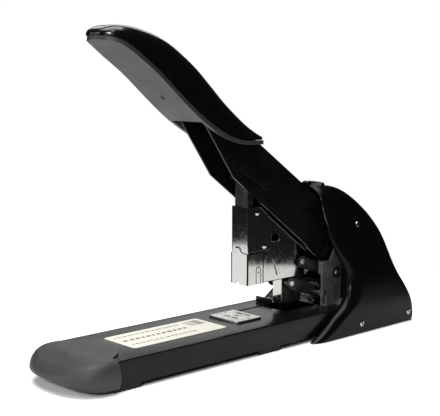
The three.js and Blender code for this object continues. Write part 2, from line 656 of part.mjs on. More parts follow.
// A saddle over the core, closed below it, with a tab inside that the spring pushes on.
function pusher() {
  const [rear, tab] = [25.8, 24.6];
  const saddle = outline([[-6.7, 52.8], [6.7, 52.8], [6.7, 68, 0.8], [-6.7, 68, 0.8]]);
  const room = outline([[-6.1, 53.6], [6.1, 53.6], [6.1, 66.4], [-6.1, 66.4]]);
  return alongX(saddle, 13.8, rear).subtract(alongX(room, 13, rear + 1))
    .add(box(tab, rear, -4.2, 4.2, 53.2, 63.6));
}

function pusherSpring() {
  const turns = 7;
  const perTurn = 6;
  const [x0, x1, radius] = [28, 68, 3.2];
  const points = [];
  for (let i = 0; i <= turns * perTurn; i += 1) {
    const angle = (i * 2 * Math.PI) / perTurn;
    const x = x0 + ((x1 - x0) * i) / (turns * perTurn);
    points.push([x, radius * Math.cos(angle), 60 + radius * Math.sin(angle)]);
  }
  return wire(points, 0.6, turns * perTurn);
}

const CARRIER = { x0: 54, x1: 78.5, half: 5.5, wall: 1.5, low: 28.5 };

function headCarrier() {
  const { x0, x1, half, wall, low } = CARRIER;
  const top = HEAD_LOW - 0.2;
  const profile = outline([[x0, low, 1], [x1, low, 1], [x1, top], [x0, top]]);
  return alongY(profile, -half, half)
    .subtract(box(x0 + wall, x1 + 1, wall - half, half - wall, low - 1, top - wall))
    .subtract(rodY(LOWER_HEAD.x, LOWER_HEAD.z, LINK_PIN + HOLE_GAP, -half - 1, half + 1));
}

// ---------------------------------------------------------------- driver
function driverCarrier() {
  const profile = outline([[9.3, 119], [16, 119], [16, 147.2, 2], [9.3, 147.2, 2]]);
  return alongY(profile, -7.7, 7.7)
    .subtract(box(10.8, 12.4, -6.7, 6.7, 110, 127.4))
    .subtract(rodY(DRIVER_PIN.x, DRIVER_PIN.z, DRIVER_PIN.radius + HOLE_GAP, -9, 9));
}

const driverBlade = () => box(11, 12.2, -6.4, 6.4, 73.3, 127);
const driverPin = () => rodY(DRIVER_PIN.x, DRIVER_PIN.z, DRIVER_PIN.radius, -15.6, 15.6);

// ---------------------------------------------------------------- housing
const COVER_SCREW = { shank: 1.8, head: 3.4, rise: 1.7 };
const TOP_SCREW = { x: 125, z: 94.7 };
const BASE_SCREWS = [{ x: 111.5, z: 9.3 }, { x: 179.6, z: 9.5 }];

// Level by level: height, half width, rear end and corner radius.
const LEVELS = [
  [1, 50, 188.5, 8], [9, 50, 188.5, 8], [21, 50, 186, 9], [34, 49, 179, 10],
  [46, 48, 170.5, 11], [58, 46, 163.5, 12], [68, 43, 161.5, 13], [79, 38.5, 160.5, 14],
  [90, 34.5, 156.5, 15], [102, 30, 149, 15], [112, 25.5, 139, 14], [121, 22, 126, 12],
  [127, 19, 116, 10], [131, 15.5, 105, 8], [133.4, 9, 96, 5],
];
// The foremost line of each shell: its x and its distance from the middle at each height.
const RIDGE = [
  [0, 50], [6, 60], [19.5, 79], [27.5, 92.5], [38, 99.5], [50, 101.5], [58, 100],
  [68, 95.6], [82, 91], [94, 88], [110, 88], [123, 90], [140, 88],
];
const RIDGE_HALF = [[0, 42], [40, 42], [60, 37], [80, 31], [94, 27], [110, 21], [123, 17], [140, 15]];
const THROAT = [[0, 112], [60, 112], [84, 108], [104, 100], [118, 93], [140, 88]];
const SIDE_SWEEP = 13;
const LIP_X = 84;
const CORNER_STEPS = 4;

function housingBody(inset, lowest) {
  const rings = LEVELS.map(([z, half, rear, corner], i) => {
    const width = Math.max(half - inset, 3);
    const back = rear - inset;
    const round = Math.min(corner, width - 1);
    const ring = [[40, -width]];
    for (let step = 0; step <= CORNER_STEPS; step += 1) {
      const angle = (step * Math.PI) / 2 / CORNER_STEPS;
      ring.push([back - round + round * Math.sin(angle), -width + round - round * Math.cos(angle)]);
    }
    const mirrored = ring.map(([x, y]) => [x, -y]).reverse();
    const height = i === 0 ? lowest : z - inset;
    return [...ring, ...mirrored].map(([x, y]) => [x, y, height]);
  });
  return loft(rings);
}

// Everything in front of a surface that runs from the ridge in to the throat.
function frontRoom(shift) {
  const columns = 26;
  const rows = 14;
  const geometry = new THREE.BoxGeometry(100, 104, 144, 1, columns, rows);
  geometry.translate(0, 0, 68);
  const position = geometry.attributes.position;
  const halfAt = LEVELS.map(([z, half]) => [z, half]);
  for (let i = 0; i < position.count; i += 1) {
    if (position.getX(i) < 0) continue;
    const [y, z] = [Math.abs(position.getY(i)), position.getZ(i)];
    const [ridge, ridgeHalf] = [along(RIDGE, z), along(RIDGE_HALF, z)];
    const inwards = THREE.MathUtils.smoothstep(ridgeHalf - y, 0, Math.max(ridgeHalf - 24, 4));
    const outwards = Math.max(y - ridgeHalf, 0) / Math.max(along(halfAt, z) - ridgeHalf, 2);
    const x = THREE.MathUtils.lerp(ridge, Math.max(along(THROAT, z), ridge), inwards);
    position.setX(i, x + shift + SIDE_SWEEP * Math.min(outwards, 1.3) ** 2);
  }
  return toSolid(geometry);
}

function cover(side) {
  const armRoom = outline([
    [30, 0], [30, 164.5], [82.4, 128.2], [100.9, 115.2], [131, 99.4], [141, 84], [152, 60],
    [152, 0],
  ]);
  const outer = housingBody(0, LEVELS[0][0]).subtract(frontRoom(0));
  const inner = housingBody(SHELL_WALL, -2).subtract(frontRoom(SHELL_WALL));
  const [y0, y1] = reach(side, GAP / 2, 60);
  let shell = outer.subtract(inner)
    .subtract(alongY(armRoom, -15.8, 15.8))
    .subtract(box(30, 125, -22.9, 22.9, 0, 104))
    .subtract(box(30, 153, -FRAME_FOOT.outer - 1, FRAME_FOOT.outer + 1, 0, BASE.top + 6))
    .subtract(box(30, BASE.rear + GAP, -BASE.half - GAP, BASE.half + GAP, -3, BASE.top + GAP))
    .subtract(box(30, LIP_X, -60, 60, 100, 150))
    .intersect(box(30, 200, y0, y1, 0, 140));
  for (const screw of [TOP_SCREW, ...BASE_SCREWS]) {
    const boss = screw === TOP_SCREW ? reach(side, 23.2, 40) : reach(side, BASE.half + 0.5, 52);
    const inside = housingBody(0.5, 0);
    shell = shell.add(rodY(screw.x, screw.z, 4.2, ...boss).intersect(inside));
    shell = shell.subtract(rodY(screw.x, screw.z, COVER_SCREW.shank + HOLE_GAP, -60, 60, 12));
  }
  for (const { screw, seat } of screwSeats()) {
    const [low, high] = reach(side, seat, 60);
    shell = shell.subtract(rodY(screw.x, screw.z, COVER_SCREW.head + GAP, low, high));
  }
  return shell;
}

// Each cover screw's head sits on a flat seat a little below the shell's skin.
const screwSeats = () => [
  { screw: TOP_SCREW, name: 'top', seat: 31.4, end: FRAME_PLATE.inner + 0.1 },
  { screw: BASE_SCREWS[0], name: 'front', seat: 48.9, end: BASE.half - 4 },
  { screw: BASE_SCREWS[1], name: 'rear', seat: 48.9, end: BASE.half - 4 },
];

function coverScrew({ screw, seat, end }, side) {
  const head = rodY(screw.x, screw.z, COVER_SCREW.head, ...reach(side, seat, seat + COVER_SCREW.rise));
  return head.add(rodY(screw.x, screw.z, COVER_SCREW.shank, ...reach(side, end, seat), 12));
}

// ---------------------------------------------------------------- assembly
addPart('base_channel', baseChannel(), 'blackSteel');
addPart('nose_cap', noseCap(), 'greyPlastic');
addPart('label', label(), 'paper');
addPart('anvil_plate', anvilPlate(), 'brushedSteel');
addPart('depth_stop', depthStop(), 'blackSteel');
addPart('depth_stop_screw', depthStopScrew(), 'chrome');
for (const [side, word] of SIDES) {
  for (const [x, place] of FEET) addPart(`foot_${place}_${word}`, foot(x, side), 'rubber');
  addPart(`frame_side_${word}`, frameSide(side), 'darkSteel');
  addPart(`upper_link_${word}`, linkBar(UPPER_HEAD, UPPER_FRAME, side), 'darkSteel');
  addPart(`lower_link_${word}`, linkBar(LOWER_HEAD, LOWER_FRAME, side), 'darkSteel');
  addPart(`lift_spring_${word}`, liftSpring(side), 'chrome');
  addPart(`head_plate_${word}`, headPlate(side), 'chrome');
  addPart(`cover_${word}`, cover(side), 'housingPlastic');
  for (const seat of screwSeats()) {
    addPart(`cover_screw_${seat.name}_${word}`, coverScrew(seat, side), 'chrome');
  }
}
FRAME_BOLTS.forEach(([x, y], i) => addPart(`frame_bolt_${i + 1}`, frameBolt(x, y), 'brushedSteel'));
addPart('handle_shaft', shaft(HANDLE_PIVOT, HANDLE_PIVOT.radius), 'brushedSteel');
addPart('upper_link_shaft', shaft(UPPER_FRAME, LINK_PIN), 'brushedSteel');
addPart('lower_link_shaft', flushShaft(LOWER_FRAME, LINK_PIN), 'brushedSteel');
addPart('handle_shaft_clip', shaftClip(HANDLE_PIVOT, HANDLE_PIVOT.radius), 'darkSteel');
addPart('upper_link_clip', shaftClip(UPPER_FRAME, LINK_PIN), 'darkSteel');
addPart('return_spring', returnSpring(), 'chrome');
addPart('handle_arm', handleArm(), 'blackSteel');
addPart('handle_top_shell', handleTopShell(), 'handleGloss');
addPart('handle_grip_tray', gripTray(), 'greyPlastic');
addPart('handle_screw', handleScrew(), 'darkSteel');
addPart('handle_spring', handleSpring(), 'darkSteel');
addPart('head_sleeve', headSleeve(), 'chrome');
HEAD_RIVETS.forEach((rivet) => addPart(`head_rivet_${rivet.name}`, headRivet(rivet), 'brushedSteel'));
addPart('head_carrier', headCarrier(), 'darkSteel');
addPart('upper_link_pin', linkPin(UPPER_HEAD), 'brushedSteel');
addPart('lower_link_pin', linkPin(LOWER_HEAD), 'brushedSteel');
addPart('magazine_core', magazineCore(), 'brushedSteel');
addPart('pusher_spring', pusherSpring(), 'brushedSteel');
addPart('driver_carrier', driverCarrier(), 'darkSteel');
addPart('driver_blade', driverBlade(), 'brushedSteel');
addPart('driver_pin', driverPin(), 'brushedSteel');
addPart('magazine_drawer', magazineDrawer(), 'brushedSteel');
addPart('pusher', pusher(), 'darkSteel');

export default group;
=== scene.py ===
# %% [markdown]
# # A heavy-duty long-arm desktop stapler
# The machine has a flat sheet-steel base, a plated head that moves straight down on two pairs
# of links, a long sprung lever with a moulded grip, and a black two-part housing over the hinge.
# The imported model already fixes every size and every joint. This lesson gives each piece its
# real surface: thin bent sheet, smooth mouldings, wound wire, rubber and print.

# %% Tools and the frame
import json
import math
import random

import bmesh
import bpy
from mathutils import Matrix, Vector


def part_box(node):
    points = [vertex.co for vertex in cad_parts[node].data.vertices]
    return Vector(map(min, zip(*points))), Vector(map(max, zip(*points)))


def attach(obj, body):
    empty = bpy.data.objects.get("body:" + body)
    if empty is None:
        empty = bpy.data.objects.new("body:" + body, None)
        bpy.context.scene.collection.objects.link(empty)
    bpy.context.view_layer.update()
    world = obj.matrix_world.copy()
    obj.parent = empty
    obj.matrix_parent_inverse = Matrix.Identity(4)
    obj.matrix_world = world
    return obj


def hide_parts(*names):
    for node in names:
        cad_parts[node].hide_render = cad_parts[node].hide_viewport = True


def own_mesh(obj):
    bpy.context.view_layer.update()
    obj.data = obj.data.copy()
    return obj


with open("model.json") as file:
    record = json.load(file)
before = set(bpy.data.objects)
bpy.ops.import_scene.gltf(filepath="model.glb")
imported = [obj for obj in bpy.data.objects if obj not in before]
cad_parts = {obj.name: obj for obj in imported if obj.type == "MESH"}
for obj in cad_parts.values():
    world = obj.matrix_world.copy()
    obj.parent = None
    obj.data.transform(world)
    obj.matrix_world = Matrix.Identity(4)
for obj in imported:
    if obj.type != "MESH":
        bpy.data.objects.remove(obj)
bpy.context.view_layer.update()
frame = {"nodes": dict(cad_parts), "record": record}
random.seed(4)

MM = 0.001
NOSE = -190  # the drawing's x at the tip of the nose
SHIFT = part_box("nose_cap")[0].x - NOSE * MM  # from the drawing's x to the frame's x
SIDES = {"left": 1, "right": -1}


def point(x, y, z):
    """A place on the drawing, in millimetres, as a point in the frame, in metres."""
    return Vector((x * MM + SHIFT, y * MM, z * MM))


def new_object(name, data):
    """An object that shows `data`, put into the scene."""
    made = bpy.data.objects.new(name, data)
    bpy.context.scene.collection.objects.link(made)
    return made


# %% [markdown]
# ## Camera
# The camera stands low on the right of the nose with a long lens, so the base runs away to the
# upper right with little perspective. It is placed by its own numbers, because a view is a
# choice and not a size of the object.

# %% Camera
CAMERA_PLACE = Vector((-0.57265, -0.6049, 0.228))
CAMERA_AZIMUTH = math.radians(-42.7)
CAMERA_ELEVATION = math.radians(7.5)
LENS = 81.82  # on a 36 mm wide sensor

view_back = Vector((
    math.sin(CAMERA_AZIMUTH) * math.cos(CAMERA_ELEVATION),
    -math.cos(CAMERA_AZIMUTH) * math.cos(CAMERA_ELEVATION),
    math.sin(CAMERA_ELEVATION),
))
camera = new_object("camera", bpy.data.cameras.new("camera"))
camera.data.sensor_width = 36
camera.data.lens = LENS
camera.location = CAMERA_PLACE
camera.rotation_mode = "QUATERNION"
camera.rotation_quaternion = (-view_back).to_track_quat("-Z", "Y")
camera.data.clip_start, camera.data.clip_end = 0.02, 50
bpy.context.scene.camera = camera

# %% [markdown]
# ## Studio
# Black gloss and chrome show their surroundings more than their own colour. A dim room keeps
# the blacks deep, a white table top gives the plated head its bright lower half, and a few
# softboxes draw the long highlights. The backdrop is white only where it is looked at directly.

# %% Studio
TABLE_RADIUS = 0.445
TABLE_CENTRE = Vector((-0.03, 0.06, 0.0))


def softbox(name, place, target, width, height, power):
    """A rectangular light at `place` that faces `target`; it is not seen directly."""
    data = bpy.data.lights.new(name, "AREA")
    data.shape = "RECTANGLE"
    data.size, data.size_y, data.energy = width, height, power
    lamp = new_object(name, data)
    lamp.location = place
    lamp.rotation_mode = "QUATERNION"
    lamp.rotation_quaternion = (Vector(target) - Vector(place)).to_track_quat("-Z", "Y")
    lamp.visible_camera = False


def white_world(room):
    """White where the camera looks past the object, dim grey for everything it lights."""
    world = bpy.data.worlds.new("studio")
    bpy.context.scene.world = world
    world.use_nodes = True
    nodes, links = world.node_tree.nodes, world.node_tree.links
    nodes.clear()
    out = nodes.new("ShaderNodeOutputWorld")
    mix = nodes.new("ShaderNodeMixShader")
    path = nodes.new("ShaderNodeLightPath")
    dim, bright = nodes.new("ShaderNodeBackground"), nodes.new("ShaderNodeBackground")
    dim.inputs["Color"].default_value = (room, room, room * 1.03, 1)
    bright.inputs["Color"].default_value = (1, 1, 1, 1)
    links.new(path.outputs["Is Camera Ray"], mix.inputs["Fac"])
    links.new(dim.outputs[0], mix.inputs[1])
    links.new(bright.outputs[0], mix.inputs[2])
    links.new(mix.outputs[0], out.inputs["Surface"])


white_world(0.02)
softbox("softbox_top", (-0.1, 0.05, 1.5), (0, 0, 0), 1.3, 1.3, 46)
softbox("softbox_back", (0.72, 0.95, 0.95), (0, 0, 0.1), 0.9, 0.35, 3)
softbox("softbox_low_back", (0.9, 1.02, 0.4), (-0.04, 0, 0.02), 0.8, 0.36, 1.0)
softbox("softbox_front", (-0.75, -0.72, 1.15), (0.08, 0, 0.06), 0.3, 0.3, 4)
softbox("softbox_knee", (-1.0, -0.62, 0.52), (0.1, -0.04, 0.04), 0.16, 0.16, 8)
softbox("softbox_left", (-1.35, 0.55, 0.5), (0, 0, 0.1), 0.5, 0.9, 7)
bpy.context.scene.view_settings.view_transform = "Standard"

table_mesh = bpy.data.meshes.new("table_top")
table_bm = bmesh.new()
bmesh.ops.create_circle(table_bm, cap_ends=True, segments=96, radius=TABLE_RADIUS)
bmesh.ops.translate(table_bm, verts=table_bm.verts, vec=TABLE_CENTRE)
table_bm.to_mesh(table_mesh)
table_top = new_object("table_top", table_mesh)

# %% [markdown]
# ## Finishes
# Each finish starts from one shader and adds what its surface really has: orange peel in stoved
# paint, the spark texture of moulded plastic, rolling lines in ground steel, a haze on plating.
# The patterns read object coordinates in metres, so 1000 means one cell in a millimetre.

# %% Finish helpers


class Finish:
    """A material under construction: its nodes, its links and its one shader."""

    def __init__(self, name, color, roughness, metallic=0.0, specular=0.5):
        self.material = bpy.data.materials.new(name)
        self.material.use_nodes = True
        self.nodes = self.material.node_tree.nodes
        self.links = self.material.node_tree.links
        self.shader = self.nodes["Principled BSDF"]
        for key, value in (
            ("Base Color", (*color, 1)), ("Roughness", roughness), ("Metallic", metallic),
            ("Specular IOR Level", specular),
        ):
            self.shader.inputs[key].default_value = value
        self.coordinates = self.nodes.new("ShaderNodeTexCoord").outputs["Object"]

    def noise(self, scale, detail=2.0, stretch=(1, 1, 1)):
        mapping = self.nodes.new("ShaderNodeMapping")
        mapping.inputs["Scale"].default_value = stretch
        texture = self.nodes.new("ShaderNodeTexNoise")
        texture.inputs["Scale"].default_value = scale
        texture.inputs["Detail"].default_value = detail
        self.links.new(self.coordinates, mapping.inputs["Vector"])
        self.links.new(mapping.outputs["Vector"], texture.inputs["Vector"])
        return texture.outputs["Fac"]

    def spread(self, value, low, high):
        """Carries a 0 to 1 pattern to the range from low to high."""
        remap = self.nodes.new("ShaderNodeMapRange")
        for key, limit in (("From Min", 0.3), ("From Max", 0.7), ("To Min", low), ("To Max", high)):
            remap.inputs[key].default_value = limit
        self.links.new(value, remap.inputs["Value"])
        return remap.outputs["Result"]

    def vary_roughness(self, value, low, high):
        self.links.new(self.spread(value, low, high), self.shader.inputs["Roughness"])

    def vary_color(self, value, dark, light):
        ramp = self.nodes.new("ShaderNodeValToRGB")
        for stop, place, color in zip(ramp.color_ramp.elements, (0.35, 0.65), (dark, light)):
            stop.position, stop.color = place, (*color, 1)
        self.links.new(value, ramp.inputs["Fac"])
        self.links.new(ramp.outputs["Color"], self.shader.inputs["Base Color"])

    def bump(self, value, height_mm, strength=1.0):
        node = self.nodes.new("ShaderNodeBump")
        node.inputs["Distance"].default_value = height_mm * MM
        node.inputs["Strength"].default_value = strength
        self.links.new(value, node.inputs["Height"])
        previous = self.shader.inputs["Normal"].links
        if previous:
            self.links.new(previous[0].from_socket, node.inputs["Normal"])
        self.links.new(node.outputs["Normal"], self.shader.inputs["Normal"])


# %% Paints, mouldings and rubber
def stoved_paint():
    """Satin black paint baked on steel: a faint orange peel and a little dust in the gloss."""
    paint = Finish("stoved_black_paint", (0.003, 0.003, 0.0032), 0.24, specular=0.15)
    paint.vary_color(paint.noise(60, 4), (0.002, 0.002, 0.0022), (0.004, 0.004, 0.0042))
    paint.vary_roughness(paint.noise(900, 3), 0.2, 0.28)
    paint.bump(paint.noise(1400, 2), 0.006, 0.4)
    return paint.material


def housing_moulding():
    """Black moulding with a satin gloss and a very fine spark texture."""
    plastic = Finish("housing_moulding", (0.0016, 0.0016, 0.0018), 0.24, specular=0.09)
    plastic.vary_roughness(plastic.noise(45, 3), 0.22, 0.27)
    plastic.bump(plastic.noise(3200, 2), 0.004, 0.35)
    return plastic.material


def handle_moulding():
    """Polished black moulding; a slow wave in the surface bends its long highlights."""
    plastic = Finish("handle_moulding", (0.0018, 0.0018, 0.002), 0.2, specular=0.3)
    plastic.vary_roughness(plastic.noise(70, 3), 0.17, 0.26)
    plastic.bump(plastic.noise(2600, 2), 0.003, 0.3)
    return plastic.material


def grey_moulding():
    """Matt dark grey moulding with a visible spark texture and slightly worn high spots."""
    plastic = Finish("grey_moulding", (0.036, 0.035, 0.036), 0.5, specular=0.3)
    plastic.vary_color(plastic.noise(900, 3), (0.021, 0.02, 0.0207), (0.03, 0.029, 0.0298))
    plastic.vary_roughness(plastic.noise(50, 3), 0.46, 0.56)
    plastic.bump(plastic.noise(2400, 2), 0.014, 0.45)
    return plastic.material


def foot_rubber():
    """Dull black rubber, dusty and slightly uneven."""
    rubber = Finish("foot_rubber", (0.008, 0.008, 0.008), 0.75, specular=0.3)
    rubber.vary_color(rubber.noise(400, 4), (0.006, 0.006, 0.006), (0.014, 0.013, 0.013))
    rubber.bump(rubber.noise(1500, 3), 0.02, 0.6)
    return rubber.material


# %% Metals and paper
def plating():
    """Bright plate over pressed steel: a light haze, and ripples from the press tool."""
    chrome = Finish("bright_plating", (0.4, 0.392, 0.376), 0.08, metallic=1)
    chrome.vary_roughness(chrome.noise(260, 5), 0.05, 0.11)
    chrome.bump(chrome.noise(40, 1), 0.02, 0.3)
    chrome.bump(chrome.noise(900, 2), 0.001, 0.3)
    return chrome.material


def ground_steel():
    """Zinc-grey steel with fine rolling lines along the part."""
    steel = Finish("ground_steel", (0.6, 0.59, 0.56), 0.28, metallic=1)
    lines = steel.noise(2200, 3, (0.06, 1, 1))
    steel.vary_color(steel.noise(180, 4), (0.5, 0.49, 0.46), (0.68, 0.67, 0.64))
    steel.vary_roughness(lines, 0.22, 0.38)
    steel.bump(lines, 0.004, 0.6)
    return steel.material


def oiled_steel():
    """Dark oiled steel, cloudy where the oil has dried."""
    steel = Finish("oiled_steel", (0.035, 0.035, 0.037), 0.35, metallic=0.85)
    steel.vary_color(steel.noise(140, 5), (0.02, 0.02, 0.021), (0.055, 0.054, 0.052))
    steel.vary_roughness(steel.noise(320, 4), 0.26, 0.46)
    steel.bump(steel.noise(1100, 2), 0.006, 0.5)
    return steel.material


def frame_steel():
    """Phosphated sheet steel: even mid grey, dull, slightly mottled."""
    steel = Finish("frame_steel", (0.2, 0.196, 0.19), 0.4, metallic=0.8)
    steel.vary_color(steel.noise(160, 4), (0.17, 0.166, 0.16), (0.24, 0.235, 0.228))
    steel.vary_roughness(steel.noise(420, 3), 0.34, 0.5)
    steel.bump(steel.noise(1300, 2), 0.006, 0.4)
    return steel.material


def spring_steel():
    """Drawn wire: bright, with faint marks from the die."""
    wire = Finish("spring_wire", (0.62, 0.61, 0.58), 0.2, metallic=1)
    wire.vary_roughness(wire.noise(700, 3), 0.15, 0.3)
    wire.bump(wire.noise(2500, 2), 0.003, 0.5)
    return wire.material


def sticker_paper():
    """Cream label paper that has yellowed unevenly."""
    paper = Finish("sticker_paper", (0.82, 0.82, 0.78), 0.6, specular=0.4)
    paper.vary_color(paper.noise(1200, 4), (0.5, 0.49, 0.42), (0.56, 0.55, 0.48))
    paper.bump(paper.noise(1800, 3), 0.006, 0.4)
    return paper.material


def print_ink():
    """Thin black ink, a little grey where the paper shows through."""
    ink = Finish("print_ink", (0.03, 0.03, 0.03), 0.6, specular=0.3)
    ink.vary_color(ink.noise(2500, 3), (0.02, 0.02, 0.02), (0.09, 0.09, 0.09))
    return ink.material


def gaps_and_painted_shade():
    """Flat black for real gaps and joints, and painted shade in recesses and along edges."""
    gap = Finish("dark_gap_and_painted_shade", (0.002, 0.002, 0.002), 0.8, specular=0.1)
    gap.bump(gap.noise(1500, 2), 0.01, 0.4)
    return gap.material


def table_white():
    """A matt white table top."""
    surface = Finish("table_white", (0.86, 0.86, 0.86), 0.7, specular=0.2)
    surface.vary_roughness(surface.noise(6, 2), 0.65, 0.75)
    return surface.material


PAINT, HOUSING, GLOSS, GREY = stoved_paint(), housing_moulding(), handle_moulding(), grey_moulding()
RUBBER, CHROME, STEEL, OILED = foot_rubber(), plating(), ground_steel(), oiled_steel()
WIRE, PAPER, INK, GAP_AND_SHADE_BLACK = spring_steel(), sticker_paper(), print_ink(), gaps_and_painted_shade()
FRAME_GREY = frame_steel()
table_top.data.materials.append(table_white())
print("finishes:", len(bpy.data.materials))

# %% [markdown]
# ## How a piece is made
# Most pieces start as a flat grid. Every point of the grid has two numbers from 0 to 1, and a
# short function says where that point goes, in the way one would pull a sheet over a former.
# A wall's thickness is added last, inwards, so the outer skin keeps its drawn size.

# %% Making pieces
def add_piece(name, bm, body, slot, material, sharp=35, replaces=()):
    """Turns a bmesh into a named piece that rides on a body; edges over `sharp` stay crisp."""
    for face in bm.faces:
        face.smooth = True
    for edge in bm.edges:
        edge.smooth = edge.calc_face_angle(0) < math.radians(sharp)
    mesh = bpy.data.meshes.new(name)
    bm.to_mesh(mesh)
    bm.free()
    mesh.materials.append(material)
    piece = new_object(name, mesh)
    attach(piece, body)
    if replaces:
        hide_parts(*replaces)
    return piece


def thicken(piece, wall_mm):
    """Gives a skin a wall, inwards from its drawn surface."""
    wall = piece.modifiers.new("wall", "SOLIDIFY")
    wall.thickness = wall_mm * MM
    wall.offset = -1


def ease(piece, width_mm, segments=2, angle=30):
    """Rounds every edge that turns by more than `angle` degrees."""
    edge = piece.modifiers.new("eased_edges", "BEVEL")
    edge.width = width_mm * MM
    edge.segments = segments
    edge.limit_method = "ANGLE"
    edge.angle_limit = math.radians(angle)
    edge.harden_normals = True


def pulled_grid(columns, rows, place):
    """A grid whose point (u, v), each from 0 to 1, is moved to place(u, v)."""
    bm = bmesh.new()
    bmesh.ops.create_grid(bm, x_segments=columns, y_segments=rows, size=0.5)
    for vert in bm.verts:
        vert.co = place(vert.co.x + 0.5, vert.co.y + 0.5)
    bmesh.ops.remove_doubles(bm, verts=bm.verts, dist=0.02 * MM)
    bmesh.ops.recalc_face_normals(bm, faces=bm.faces)
    centre = sum((vert.co for vert in bm.verts), Vector()) / len(bm.verts)
    if sum((f.calc_center_median() - centre).dot(f.normal) * f.calc_area() for f in bm.faces) < 0:
        bmesh.ops.reverse_faces(bm, faces=bm.faces)
    return bm


def cut(bm, place, normal):
    """Scores the whole mesh along a plane, so that faces can be removed up to that line."""
    geometry = [*bm.verts, *bm.edges, *bm.faces]
    bmesh.ops.bisect_plane(bm, geom=geometry, plane_co=place, plane_no=normal, dist=1e-7)


def remove_faces(bm, unwanted):
    doomed = [face for face in bm.faces if unwanted(face.calc_center_median())]
    bmesh.ops.delete(bm, geom=doomed, context="FACES")


def mix(a, b, share):
    return a + (b - a) * share


def clamp(share):
    """The nearest number from 0 to 1."""
    return min(max(share, 0), 1)


def curve_at(points, t):
    """The smooth curve through (t, value) pairs in rising t, with no overshoot at flat ends."""
    if t <= points[0][0]:
        return points[0][1]
    if t >= points[-1][0]:
        return points[-1][1]
    i = next(k for k in range(1, len(points)) if points[k][0] >= t)

    def slope(k):
        before, after = points[max(k - 1, 0)], points[min(k + 1, len(points) - 1)]
        return (after[1] - before[1]) / (after[0] - before[0])

    (t0, v0), (t1, v1) = points[i - 1], points[i]
    span, s = t1 - t0, (t - t0) / (t1 - t0)
    return (
        (2 * s**3 - 3 * s**2 + 1) * v0 + (s**3 - 2 * s**2 + s) * span * slope(i - 1)
        + (3 * s**2 - 2 * s**3) * v1 + (s**3 - s**2) * span * slope(i)
    )


# %% [markdown]
# ## Sheet-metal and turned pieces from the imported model
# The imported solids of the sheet-metal pieces are right in shape, but their edges are razor
# sharp, and a real edge always catches a thin line of light. A merged copy of each one gets
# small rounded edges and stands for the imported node.

# %% Eased copies
def eased_copy(node, material, slot, width_mm):
    """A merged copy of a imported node, with rounded edges, that rides on the node's body."""
    body = next(b for b, names in frame["record"]["behaviour"]["bodies"].items() if node in names)
    bm = bmesh.new()
    bm.from_mesh(frame["nodes"][node].data)
    bmesh.ops.remove_doubles(bm, verts=bm.verts, dist=0.001 * MM)
    bmesh.ops.dissolve_limit(
        bm, angle_limit=math.radians(0.8), verts=bm.verts, edges=bm.edges
    )
    piece = add_piece(f"{node}_eased", bm, body, slot, material, replaces=[node])
    ease(piece, width_mm)
    return piece


EASED = (
    (PAINT, "black_steel", {"base_channel": 0.5, "handle_arm": 0.35, "depth_stop": 0.25}),
    (FRAME_GREY, "dark_steel", {f"frame_side_{side}": 0.3 for side in SIDES}),
    (OILED, "dark_steel", {
        **{f"{link}_link_{side}": 0.3 for link in ("upper", "lower") for side in SIDES},
        "head_carrier": 0.3, "driver_carrier": 0.25, "pusher": 0.12,
        "handle_shaft_clip": 0.1, "upper_link_clip": 0.1,
    }),
    (CHROME, "chrome", {f"head_plate_{side}": 0.15 for side in SIDES}),
    (STEEL, "brushed_steel", {
        "magazine_core": 0.12, "driver_blade": 0.12, "anvil_plate": 0.2,
        **{f"frame_bolt_{i}": 0.25 for i in (1, 2, 3, 4)},
    }),
    (RUBBER, "rubber", {
        f"foot_{place}_{side}": 0.3 for place in ("front", "middle", "rear") for side in SIDES
    }),
)
for material, slot, widths in EASED:
    for node, width in widths.items():
        eased_copy(node, material, slot, width)
print("eased copies:", sum(len(widths) for _, _, widths in EASED))

# %% [markdown]
# ## Pins, shafts, rivets and screws
# Anything turned is a profile spun about its own axis. The profile is a short list of radius
# and distance, so a pin, a shaft with a head or a domed screw is the same function.

# %% Turned pieces
TURNED_STEPS = 32


def stood(bm, centre, axis):
    """Moves a mesh made about the z axis onto `centre`, pointing along `axis`."""
    turn = Vector(axis).to_track_quat("Z", "X").to_matrix().to_4x4()
    bmesh.ops.transform(bm, matrix=Matrix.Translation(centre) @ turn, verts=bm.verts)
    return bm


def turned(profile, centre, axis):
    """Spins (distance along the axis, radius) pairs about the axis through `centre`."""
    bm = bmesh.new()
    verts = [bm.verts.new((radius * MM, 0, away * MM)) for away, radius in profile]
    edges = [bm.edges.new(pair) for pair in zip(verts, verts[1:])]
    bmesh.ops.spin(
        bm, geom=[*verts, *edges], cent=(0, 0, 0), axis=(0, 0, 1), dvec=(0, 0, 0),
        angle=math.tau, steps=TURNED_STEPS, use_merge=True, use_duplicate=False,
    )
    bmesh.ops.remove_doubles(bm, verts=bm.verts, dist=0.002 * MM)
    bmesh.ops.recalc_face_normals(bm, faces=bm.faces)
    return stood(bm, centre, axis)


def middle(node):
    low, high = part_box(node)
    return (low + high) / 2


def turned_node(node, body, material, slot, profile, axis=(0, 1, 0)):
    """A turned piece in place of a packed one; the profile is measured from the node's middle."""
    bm = turned(profile, middle(node), axis)
    return add_piece(f"{node}_turned", bm, body, slot, material, replaces=[node])


def pin_profile(half, radius, chamfer=0.4):
    return [
        (-half, 0), (-half, radius - chamfer), (-half + chamfer, radius),
        (half - chamfer, radius), (half, radius - chamfer), (half, 0),
    ]


def shaft_profile(half, radius, head):
    """A shaft with a clip groove near one end and a head at the other."""
    return [
        (-half, 0), (-half, radius - 0.4), (-half + 0.4, radius), (-half + 1, radius),
        (-half + 1, radius - 0.8), (-half + 2, radius - 0.8), (-half + 2, radius),
        (half - 2.4, radius), (half - 2.4, head), (half - 0.5, head), (half, head - 0.6), (half, 0),
    ]


